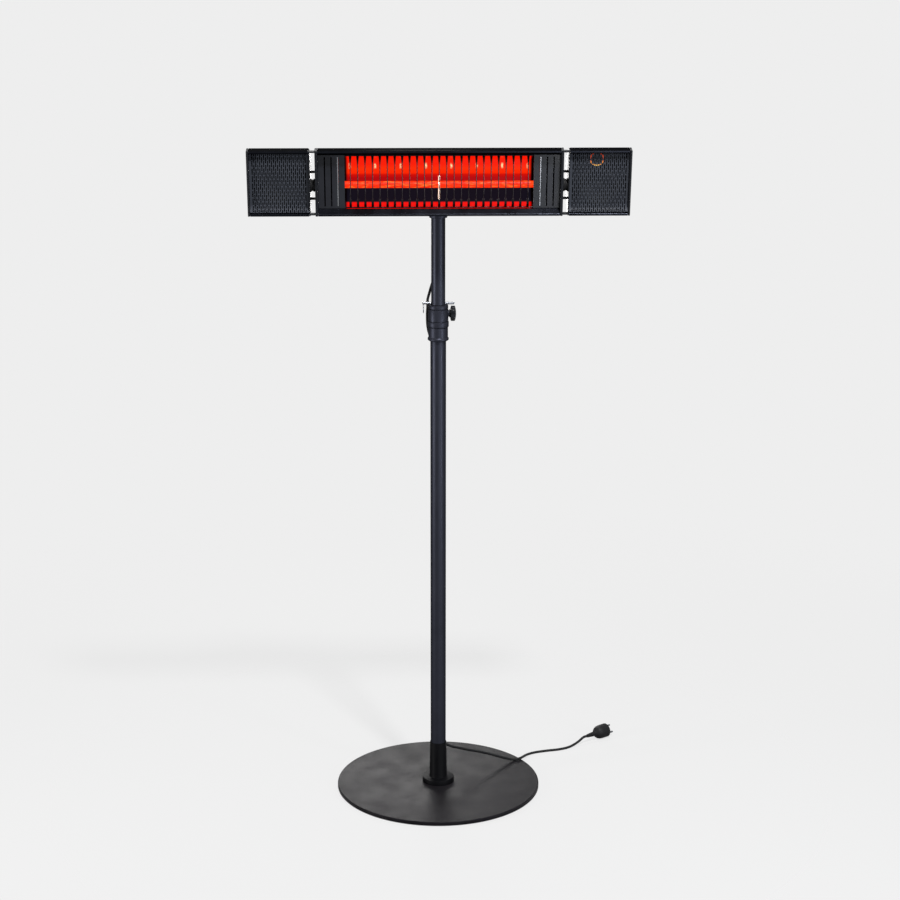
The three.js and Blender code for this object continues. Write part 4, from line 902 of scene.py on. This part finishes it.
class HEATER_OT_grilles(bpy.types.Operator):
    """Grilles of the loudspeaker modules: thin sheet with staggered upright slots, rolled back at its foot"""

    bl_idname = "heater.grilles"
    bl_label = "Grilles"

    def cell(self, width, height, slot_width, slot_height):
        """One slot in its own rectangle of sheet, whose corners meet those of the next, staggered column."""
        deselect()
        radius, straight = slot_width / 2, (slot_height - slot_width) / 2
        bpy.ops.mesh.primitive_circle_add(vertices=SLOT_CORNERS, radius=radius, fill_type="NOTHING")
        piece = placed(named("grille_cell"), Matrix.Rotation(math.pi / 2, 4, "X"))
        for vertex in piece.data.vertices:
            if abs(vertex.co.z) > 0.1 * radius:
                vertex.co.z += math.copysign(straight, vertex.co.z)
            if abs(vertex.co.x) > 0.9 * radius:
                vertex.co.x = math.copysign(SLOT_SIDE * radius, vertex.co.x)
        select_only(piece)
        bpy.ops.object.mode_set(mode="EDIT")
        bpy.ops.mesh.select_all(action="SELECT")
        bpy.ops.mesh.extrude_region_move()
        bpy.ops.object.mode_set(mode="OBJECT")
        for vertex in piece.data.vertices:
            if vertex.select:
                rise = max(0.0, abs(vertex.co.z) - straight)
                place = round(math.atan2(rise, abs(vertex.co.x)) / SLOT_STEP_ANGLE)
                vertex.co.x = math.copysign(CELL_OUT[place] * width / 2, vertex.co.x)
                vertex.co.z = math.copysign(CELL_UP[place] * height / 2, vertex.co.z)
        return piece

    def trim(self, height, way, clear):
        """Cuts the sheet at a height and, where asked, drops what lies beyond: above (1) or below (-1)."""
        bpy.ops.mesh.select_all(action="SELECT")
        bpy.ops.mesh.bisect(plane_co=(0, 0, height), plane_no=(0, 0, way), clear_outer=clear)

    def execute(self, context):
        sizes = context.scene.heater_sizes
        low, high = section_box("wing_grille_right")
        pitch, step = sizes.grille_pitch, sizes.slot_step
        front, middle, field_top = low.y, (low.x + high.x) / 2, high.z - TOP_MARGIN
        folds = [ROLL_START - ROLL_RADIUS * ROLL_ANGLE * index / CREASES for index in range(CREASES + 1)]
        foot = folds.pop()
        columns = 2 * int((high.x - low.x - 2 * SIDE_MARGIN) / pitch / 2)
        rows = int((high.z - foot) / step) + 2
        even = self.cell(pitch, step, sizes.slot_width, sizes.slot_height)
        odd = copied(even, "odd_cell", shift(x=pitch, z=step / 2))
        sheet = joined("grille_sheet", even, odd)
        repeated(sheet, columns // 2, (2 * pitch, 0, 0))
        repeated(sheet, rows, (0, 0, step))
        placed(sheet, shift(middle - (columns - 1) / 2 * pitch, front, ROLL_START - step))
        select_only(sheet)
        bpy.ops.object.mode_set(mode="EDIT")
        bpy.ops.mesh.select_all(action="SELECT")
        bpy.ops.mesh.remove_doubles(threshold=0.02 * MM)
        self.trim(field_top, 1, True)
        self.trim(foot, -1, True)
        for height in folds:
            self.trim(height, 1, False)
        field = columns / 2 * pitch
        self.border(sheet, (1, 0, 0), middle + field, high.x)
        self.border(sheet, (-1, 0, 0), field - middle, -low.x)
        self.border(sheet, (0, 0, 1), field_top, high.z)
        for height in reversed(folds):
            self.fold(sheet, front, height, ROLL_ANGLE / CREASES)
        bpy.ops.object.mode_set(mode="OBJECT")
        apply_modifier(sheet, "SOLIDIFY", thickness=SHEET_WALL, offset=0.0)
        placed(sheet, shift(y=SHEET_WALL / 2))
        select_only(sheet)
        bpy.ops.object.mode_set(mode="EDIT")
        close_shell()
        placed(sheet, SECTION)
        other = mirrored(sheet, "grille_left")
        sheet.name = sheet.data.name = "grille_right"
        dress(sheet, "grille", "head", ["wing_grille_right"])
        dress(other, "grille", "head", ["wing_grille_left"])
        return {"FINISHED"}

    def pick(self, sheet, test):
        """Selects the vertices that pass a test, and leaves edit mode on."""
        bpy.ops.mesh.select_all(action="DESELECT")
        bpy.ops.object.mode_set(mode="OBJECT")
        for vertex in sheet.data.vertices:
            vertex.select = test(vertex.co)
        bpy.ops.object.mode_set(mode="EDIT")

    def border(self, sheet, direction, edge, reach):
        """Draws a plain margin out from one edge of the slotted field."""
        way = Vector(direction)
        bpy.ops.mesh.select_mode(type="VERT")
        self.pick(sheet, lambda place: place.dot(way) > edge - 0.05 * MM)
        bpy.ops.mesh.extrude_edges_move(TRANSFORM_OT_translate={"value": way * (reach - edge)})

    def fold(self, sheet, front, height, angle):
        """Turns everything below a crease back by an angle."""
        self.pick(sheet, lambda place: place.z < height - 0.01 * MM)
        bpy.ops.transform.rotate(value=angle, orient_axis="X", orient_type="GLOBAL",
                                 center_override=(0, front, height))


class HEATER_OT_speakers(bpy.types.Operator):
    """Loudspeakers behind the grilles: baffle, rolled surround, cone, cap, basket and magnet"""

    bl_idname = "heater.speakers"
    bl_label = "Loudspeakers"

    def execute(self, context):
        low, high = section_box("speaker_right")
        driver, magnet, drop = 46 * MM, 26 * MM, 15 * MM
        front, back, opening = 20 * MM, high.y, driver - 5 * MM
        behind = front + 3 * MM  # the baffle's back
        place = shift((low.x + high.x) / 2, 0, -drop) @ ALONG_Y
        baffle = block("baffle", (low.x, front, low.z), (high.x, behind, high.z))
        hole = turned("hole", [
            (0, front - MM), (opening, front - MM), (opening, behind + MM), (0, behind + MM),
        ], SMALL_ROUND)
        drilled(baffle, placed(hole, place))
        rounded(baffle, 0.4 * MM)
        coat(baffle, "black")
        seat, shoulder, spider = behind + 3 * MM, behind + 22 * MM, behind + 24 * MM
        cone = turned("cone", [
            (0, front + 8 * MM), (6 * MM, front + 8.6 * MM), (11 * MM, front + 11 * MM),
            (12 * MM, front + 13 * MM), *arc(opening, front - 0.5 * MM, 4 * MM, -1.4 * MM, 180, 0, 8),
            (driver, front - 0.5 * MM), (driver, seat), (driver - 3 * MM, seat),
            (12 * MM, front + 15 * MM), (0, front + 14 * MM),
        ], SMALL_ROUND)
        coat(cone, "cone")
        basket = turned("basket", [
            (driver - 3 * MM, seat), (driver, seat), (magnet + 3 * MM, shoulder), (magnet, spider),
            (magnet, back - 2 * MM), (magnet - 2 * MM, back), (0, back), (0, spider),
        ], SMALL_ROUND)
        coat(basket, "steel")
        unit = placed(joined("driver", cone, basket), place)
        speaker = placed(joined("loudspeaker_right", baffle, unit), SECTION)
        other = mirrored(speaker, "loudspeaker_left")
        ride(speaker, "head", ["speaker_right"])
        ride(other, "head", ["speaker_left"])
        return {"FINISHED"}


class HEATER_OT_indicator(bpy.types.Operator):
    """Round indicator light behind the right grille"""

    bl_idname = "heater.indicator"
    bl_label = "Indicator light"

    def execute(self, context):
        low, high = section_box("status_ring")
        place = SECTION @ Matrix.Translation((low + high) / 2) @ ALONG_Y
        light = placed(wire_ring("light_ring", (high.x - low.x) / 2, (high.y - low.y) / 2, 12), place)
        dress(smooth(light), "amber", "head", ["status_ring"])
        return {"FINISHED"}


class HEATER_OT_sleeves(bpy.types.Operator):
    """Ribbed rubber sleeves that carry the wires from the heater to the loudspeaker modules"""

    bl_idname = "heater.sleeves"
    bl_label = "Wire sleeves"

    def execute(self, context):
        low, high = section_box("cable_sleeve_right")
        length, outer = high.x - low.x, (high.z - low.z) / 2
        neck, ribs = outer - 1.5 * MM, 4
        ridges = []
        for index in range(ribs):
            start = length * (0.06 + 0.9 * index / ribs)
            reach = outer - (1.2 * MM if index in (0, ribs - 1) else 3 * MM)
            ridges += rib(reach - 1.6 * MM, reach, start, 0.8 * MM, 2.2 * MM, 3 * MM)
        sleeve = turned("wire_sleeve_right", [
            (0, 0), (neck, 0), *ridges, (neck, length), (0, length),
        ], SMALL_ROUND)
        centre = (low + high) / 2
        placed(sleeve, SECTION @ shift(low.x, centre.y, centre.z) @ ALONG_X)
        other = mirrored(sleeve, "wire_sleeve_left")
        dress(sleeve, "rubber", "head", ["cable_sleeve_right"])
        dress(smooth(other), "rubber", "head", ["cable_sleeve_left"])
        return {"FINISHED"}


# ---------- pieces that keep the frame's own shape ----------
# Each row: finish, slot, rounding of the edges in millimetres, and the nodes.
KEPT = (
    ("rubber", "rubber", 0, ("floor_ring",)),
    ("steel", "bright_steel", 0, ("tube_insert", "base_bolt")),
    ("steel", "bright_steel", 0.3, ("pivot_bolt",)),
    ("tube", "tube_coat", 0.4, ("mast_yoke",)),
    ("tube", "tube_coat", 0.8, ("tilt_bracket",)),
    ("head", "housing_coat", 0.7, ("heater_housing", "wing_housing_left", "wing_housing_right")),
    ("sheet_coat", "housing_coat", 0.3, ("end_plate_left", "end_plate_right")),
    ("reflector", "reflector_metal", 0, ("reflector",)),
    ("sheet", "reflector_metal", 0.2, ("lamp_holder_left", "lamp_holder_right")),
    ("strap", "bright_steel", 0.2, ("lamp_support",)),
    ("board", "circuit_board", 0, ("control_board",)),
    ("black", "black_plastic", 0, (
        "glide_plug", "housing_end_cap_left", "housing_end_cap_right", "wing_outer_cap_left",
        "wing_outer_cap_right",
    )),
    ("black", "black_plastic", 0.4, (
        "wing_inner_plate_left", "wing_inner_plate_right", "power_switch", "cord_clip_upper",
        "cord_clip_lower", "cord_clip_mast",
    )),
    ("black", "black_plastic", 0.5, ("junction_box_lid",)),
    ("black", "black_plastic", 0.8, ("junction_box",)),
)


class HEATER_OT_kept(bpy.types.Operator):
    """Finishes and edge rounding for the pieces whose shape in the frame is already right"""

    bl_idname = "heater.kept"
    bl_label = "Housings and small parts"

    def execute(self, context):
        for finish, slot, edge, nodes in KEPT:
            for node in nodes:
                dress_node(node, finish, edge * MM)
        return {"FINISHED"}


SCREW_SEAT = 1.6 * MM  # from the outermost plane of the lid or cap in to the face that the screws sit on
LID_INSET = 6 * MM  # from the lid's sides to its screws
# Millimetres behind the section's face and above its middle.
CAP_SCREWS = ((16, 58), (16, -58), (70, 20), (70, -20))


class HEATER_OT_screws(bpy.types.Operator):
    """Pan-head screws of the end caps and of the junction box lid"""

    bl_idname = "heater.screws"
    bl_label = "Screws"

    def screw(self, name, radius):
        """A pan head with a cross recess, its seat at the origin."""
        head = turned(name, [
            (0, 0), (radius, 0), (radius, 0.4 * MM), (radius * 0.92, 0.9 * MM), (radius * 0.62, 1.35 * MM),
            (0, 1.5 * MM),
        ], TINY_ROUND)
        reach, half, bottom, top = radius * 0.6, 0.25 * MM, 0.8 * MM, 2 * MM
        for x, y in ((reach, half), (half, reach)):
            drilled(head, block("recess", (-x, -y, bottom), (x, y, top)))
        return smooth(head)

    def execute(self, context):
        head = self.screw("screw", 3.2 * MM)
        low, high = section_box("junction_box_lid")
        columns = (low.x + LID_INSET, high.x - LID_INSET)
        rows = (low.z + LID_INSET, high.z - LID_INSET)
        places = [shift(x, high.y - SCREW_SEAT, z) @ ALONG_Y for x in columns for z in rows]
        self.group(head, "lid_screws", places)
        seat = section_box("wing_outer_cap_right")[1].x - SCREW_SEAT
        for side, name in ((1, "cap_screws_right"), (-1, "cap_screws_left")):
            outwards = Matrix.Rotation(side * math.pi / 2, 4, "Y")
            places = [shift(side * seat, depth * MM, height * MM) @ outwards for depth, height in CAP_SCREWS]
            self.group(head, name, places)
        select_only(head)
        bpy.ops.object.delete()
        return {"FINISHED"}

    def group(self, head, name, places):
        """One piece of like screws, each at its own place in the section."""
        screws = joined(name, *[copied(head, "screw_copy", SECTION @ place) for place in places])
        dress(screws, "steel", "head")


# ---------- mains lead ----------
# The runs' points are in millimetres, in the frame's own axes.
UPPER_CORD = 22.7  # from the mast's axis to the lead's, behind the upper tube
LOWER_CORD = 24.85  # and behind the lower pole
SPAN_STEPS = 8  # steps of the smooth line from one point of a run to the next
HEAD_ROUTE = [
    (-62, -24.9, 1511.1), (-62, -21.5, 1491.5), (-58, -11, 1473), (-45, 7, 1461), (-26, 20.5, 1453),
    (-10, 24.5, 1440), (-2, 23.4, 1422), (0, UPPER_CORD, 1404), (0, UPPER_CORD, 1380), (0, UPPER_CORD, 1330),
]
WRAP_ROUTE = [
    (0, UPPER_CORD, 1330), (0, UPPER_CORD, 1322), (-4, 22.6, 1309), (-10.5, 21.4, 1294), (-16.5, 19.4, 1278),
    (-21.4, 16.6, 1261), (-24.6, 13.6, 1250), (-25.4, 12.4, 1242), (-25.4, 12.4, 1236),
]
COLLAR_ROUTE = [
    (-25.4, 12.4, 1236), (-25.4, 12.4, 1228), (-26.2, 12.4, 1216), (-26.2, 13.3, 1200), (-25.2, 15.3, 1183),
    (-21.6, 20.3, 1164), (-15, 25.7, 1146), (-7, 27.8, 1126), (-1.5, 25.8, 1107), (0, LOWER_CORD, 1090),
    (0, LOWER_CORD, 1070),
]
FLOOR_ROUTE = [
    (0, LOWER_CORD, 1070), (0, LOWER_CORD, 160), (0, LOWER_CORD, 140), (3, 26.5, 120), (20, 31, 97),
    (66, 52, 74.6), (121, 84, 50), (171, 106, 26.7), (197, 118, 16), (214, 125.5, 16), (222, 138, 14.4),
    (236, 170, 7.5), (256, 192, 3.7), (290, 204, 3.5), (324, 213, 3.5), (352, 228, 4.2), (376, 246.5, 10.5),
    (391, 258.2, 18.4), (400, 265.2, 18.4),
]


class HEATER_OT_lead(bpy.types.Operator):
    """Mains lead in four runs, from the gland down the mast and over the floor to its plug"""

    bl_idname = "heater.lead"
    bl_label = "Mains lead"

    def run(self, context, name, route, node):
        """Makes one run, and gives the piece, the line along its middle and the line's length."""
        line = through([[c * MM for c in point] for point in route], SPAN_STEPS)
        piece = coat(rod(name, line, context.scene.heater_sizes.lead_diameter / 2, 16), "rubber")
        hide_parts(node)
        long = sum((after - before).length for before, after in zip(line, line[1:]))
        return piece, line, long

    def execute(self, context):
        spans = (
            ("lead_head", HEAD_ROUTE, "cord_head_run", "mast", "head"),
            ("lead_wrap", WRAP_ROUTE, "cord_wrap_run", "glide", "mast"),
            ("lead_collar", COLLAR_ROUTE, "cord_collar_run", "base", "glide"),
        )
        for name, route, node, near, far in spans:
            piece, line, long = self.run(context, name, route, node)
            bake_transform(piece)
        piece, line, long = self.run(context, "lead_floor", FLOOR_ROUTE, "cord_floor_run")
        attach(piece, "base")
        plug, pins = self.plug(line)
        self.gland()
        return {"FINISHED"}

    def plug(self, line):
        """Round rubber plug with a ribbed strain relief, and its two pins."""
        heading = (Vector(FLOOR_ROUTE[-1]) - Vector(FLOOR_ROUTE[-2])).normalized()
        turn = Vector((0, 0, 1)).rotation_difference(heading).to_matrix().to_4x4()
        place = Matrix.Translation(line[-1]) @ turn
        ribs = []
        for index in range(6):
            reach = (4.7 + 0.36 * index) * MM
            ribs += rib(reach - 0.9 * MM, reach, (3 + 4.4 * index) * MM, 0.4 * MM, 2.2 * MM, 2.6 * MM)
        radius, tail, end = 18.1 * MM, 0.3 * MM, 70 * MM
        body = turned("plug", [
            (0, tail), (4 * MM, tail), *ribs, (7.5 * MM, 30.5 * MM), (12.5 * MM, 33 * MM),
            (15.6 * MM, 37.5 * MM), (17.4 * MM, 43 * MM), (radius, 49 * MM), (radius, 58 * MM),
            (radius - 0.9 * MM, 59 * MM), (radius - 0.9 * MM, 61 * MM), (radius, 62 * MM),
            (radius, end - MM), (radius - MM, end), (0, end),
        ], 64)
        placed(body, place)
        dress(body, "rubber", "base", ["plug_body"])
        pin, foot, tip, apart = 2.4 * MM, end + MM, end + 19.2 * MM, 19 * MM
        profile = [(0, foot), (pin, foot), (pin, tip - 2.2 * MM), (pin - 0.5 * MM, tip - 0.6 * MM), (0, tip)]
        pins = [placed(turned("pin_blank", profile, TINY_ROUND), shift(x=x)) for x in (-apart / 2, apart / 2)]
        low, high, rim = end + 0.2 * MM, end + 2.2 * MM, 15.2 * MM
        face = turned("pin_plate", [
            (0, low), (rim - 0.6 * MM, low), (rim, low + 0.6 * MM), (rim, high - 0.6 * MM),
            (rim - 0.6 * MM, high), (0, high),
        ], SMALL_ROUND)
        contacts = placed(joined("contact_pins", face, *pins), place)
        dress(contacts, "steel", "base", ["plug_pins"])
        return body, contacts

    def gland(self):
        """Cable gland under the junction box: hexagonal nut, domed cap and tapered strain relief."""
        low, high = section_box("cord_gland")
        centre, foot, top = (low + high) / 2, low.z, high.z
        under_box, thread, cap = -31.3 * MM, 5 * MM, 8.2 * MM
        nut = placed(cylinder("gland_nut", 9.2 * MM, 7 * MM, 6), shift(z=under_box - 3.7 * MM))
        rounded(nut, 0.5 * MM)
        relief = [(0, foot), (4.4 * MM, foot), (5 * MM, foot + 0.6 * MM)]
        for index in range(3):
            root = (5 + 0.5 * index) * MM
            relief += rib(root, root + 0.4 * MM, foot + (1.2 + 3 * index) * MM, 0.4 * MM, 1.8 * MM, 2.2 * MM)
        dome = turned("gland_dome", [
            *relief, (cap - 0.8 * MM, foot + 10.5 * MM), (cap, foot + 12 * MM), (cap, under_box - 1.7 * MM),
            (thread, under_box - 0.1 * MM), (thread, top), (0, top),
        ], SMALL_ROUND)
        gland = placed(joined("gland", nut, dome), SECTION @ shift(centre.x, centre.y))
        dress(gland, "black", "head", ["cord_gland"])


# ---------- studio ----------
CAMERA_PLACE = Vector((0, -5.061, 2.2226))
CAMERA_LEFT = math.radians(1.1)  # how far round to the left of the front it stands
CAMERA_PITCH = math.radians(14.88)
CAMERA_SHIFT = 0.0131
WARM, WHITE, COOL = (1.0, 0.99, 0.98), (1.0, 1.0, 1.0), (0.9, 0.94, 1.0)
# Each row: name, place, aim, width, height, watts, colour.
LAMPS = (
    ("overhead", (-0.1, 1.75, 3.6), (0, 0, 0), 0.6, 0.6, 60, WARM),
    ("back", (-0.35, 2.4, 1.15), (0, 0, 0), 1.3, 0.5, 26, WARM),
    ("front_key", (0.9, -2.3, 4.85), (0, 0, 1.5), 0.4, 0.4, 560, WHITE),
    ("left_strip", (-2.4, -0.97, 0.75), (0, 0, 1.3), 0.4, 1.1, 85, WHITE),
    ("right_strip", (1.9, -1.77, 0.75), (0, 0, 1.3), 0.3, 1.1, 58, COOL),
    ("low_card", (0.95, -3.1, 0.25), (0.4, 0, 1.55), 0.6, 0.6, 26, COOL),
)
WORLD_LIGHT = 0.04  # strength of the world's light on the heater
PAPER = 0.05  # how much of the lamps' light the floor throws back
PAPER_SEEN = 0.735  # what the floor shows of its own, for the pale background
PAPER_RADIUS = 9  # metres
FADE_START, FADE_END = 0.5, 2.6  # metres from the mast


class HEATER_OT_stage(bpy.types.Operator):
    """Pale floor that fades into the background, soft lamps and the camera"""

    bl_idname = "heater.stage"
    bl_label = "Studio"

    def execute(self, context):
        settings = context.scene.heater_stage
        pale = (*linear(settings.floor), 1)
        self.background(context, pale)
        self.ground()
        for name, place, aim, width, height, watts, colour in LAMPS:
            deselect()
            bpy.ops.object.light_add(type="AREA", location=place)
            lamp = context.object
            lamp.name = name
            lamp.rotation_euler = (Vector(aim) - Vector(place)).to_track_quat("-Z", "Y").to_euler()
            lamp.data.shape = "RECTANGLE"
            lamp.data.size, lamp.data.size_y = width, height
            lamp.data.energy, lamp.data.color = watts, colour
            lamp.visible_camera = False
        deselect()
        bpy.ops.object.camera_add(location=Matrix.Rotation(-CAMERA_LEFT, 3, "Z") @ CAMERA_PLACE,
                                  rotation=(math.pi / 2 - CAMERA_PITCH, 0, -CAMERA_LEFT))
        camera = context.object
        camera.data.sensor_width = 36
        camera.data.lens = settings.lens
        camera.data.shift_x = CAMERA_SHIFT
        camera.data.clip_start, camera.data.clip_end = 0.1, 60
        context.scene.camera = camera
        context.scene.view_settings.view_transform = "Standard"
        return {"FINISHED"}

    def seen(self, tree):
        """1 where the camera, a reflection or a view through glass meets the surface, and 0 for its light."""
        rays = add_node(tree, "ShaderNodeLightPath").outputs
        direct = maths(tree, "MAXIMUM", rays["Is Camera Ray"], rays["Is Glossy Ray"])
        return maths(tree, "MAXIMUM", direct, rays["Is Transmission Ray"])

    def background(self, context, pale):
        """The world lights the heater evenly, and looks pale to the camera and in reflections."""
        world = bpy.data.worlds.new("studio")
        context.scene.world = world
        world.use_nodes = True
        tree = world.node_tree
        tree.nodes.clear()
        light = add_node(tree, "ShaderNodeBackground", {"Color": (0.95, 0.97, 1, 1), "Strength": WORLD_LIGHT})
        shown = add_node(tree, "ShaderNodeBackground", {"Color": pale, "Strength": 1.0})
        mixed = add_node(tree, "ShaderNodeMixShader",
                         {0: self.seen(tree), 1: light.outputs[0], 2: shown.outputs[0]})
        add_node(tree, "ShaderNodeOutputWorld", {"Surface": mixed.outputs[0]})

    def ground(self):
        """Paper that keeps the heater's soft shadow and fades into the background."""
        deselect()
        bpy.ops.mesh.primitive_circle_add(vertices=ROUND, radius=PAPER_RADIUS, fill_type="NGON")
        floor = named("studio_floor")
        material = bpy.data.materials.new("studio_paper")
        material.use_nodes = True
        tree = material.node_tree
        tree.nodes.clear()
        paper = add_node(tree, "ShaderNodeBsdfDiffuse", {"Color": (PAPER, PAPER, PAPER, 1)})
        glow = add_node(tree, "ShaderNodeEmission",
                        {"Color": (PAPER_SEEN, PAPER_SEEN, PAPER_SEEN, 1), "Strength": self.seen(tree)})
        lit = add_node(tree, "ShaderNodeAddShader", {0: paper.outputs[0], 1: glow.outputs[0]})
        clear = add_node(tree, "ShaderNodeBsdfTransparent")
        far = add_node(tree, "ShaderNodeVectorMath", {0: object_place(tree)}, operation="LENGTH")
        fade = add_node(tree, "ShaderNodeMapRange",
                        {"Value": far.outputs["Value"], "From Min": FADE_START, "From Max": FADE_END},
                        interpolation_type="SMOOTHSTEP")
        mixed = add_node(tree, "ShaderNodeMixShader",
                         {0: fade.outputs[0], 1: lit.outputs[0], 2: clear.outputs[0]})
        add_node(tree, "ShaderNodeOutputMaterial", {"Surface": mixed.outputs[0]})
        floor.data.materials.append(material)


# ---------- panel and registration ----------
OPERATORS = (
    HEATER_OT_base, HEATER_OT_mast, HEATER_OT_collar, HEATER_OT_knobs, HEATER_OT_pin, HEATER_OT_lamp,
    HEATER_OT_guard, HEATER_OT_grilles, HEATER_OT_speakers, HEATER_OT_indicator, HEATER_OT_sleeves,
    HEATER_OT_kept, HEATER_OT_screws, HEATER_OT_lead, HEATER_OT_stage,
)


class HEATER_PT_panel(bpy.types.Panel):
    """Lists the heater's pieces and settings in the sidebar"""

    bl_label = "Patio heater"
    bl_space_type = "VIEW_3D"
    bl_region_type = "UI"
    bl_category = "Heater"

    def draw(self, context):
        for group in (context.scene.heater_colours, context.scene.heater_sizes, context.scene.heater_stage):
            for setting in group.__annotations__:
                self.layout.prop(group, setting)
        for operator in OPERATORS:
            self.layout.operator(operator.bl_idname)


SETTINGS = {"heater_colours": HeaterColours, "heater_sizes": HeaterSizes, "heater_stage": HeaterStage}
CLASSES = (*SETTINGS.values(), *OPERATORS, HEATER_PT_panel)


def register():
    for cls in CLASSES:
        bpy.utils.register_class(cls)
    for name, group in SETTINGS.items():
        setattr(bpy.types.Scene, name, bpy.props.PointerProperty(type=group))


def unregister():
    for name in SETTINGS:
        delattr(bpy.types.Scene, name)
    for cls in reversed(CLASSES):
        bpy.utils.unregister_class(cls)


def main():
    register()
    make_finishes(bpy.context.scene.heater_colours)
    for operator in OPERATORS:
        module, name = operator.bl_idname.split(".")
        getattr(getattr(bpy.ops, module), name)()


if __name__ == "__main__":
    main()
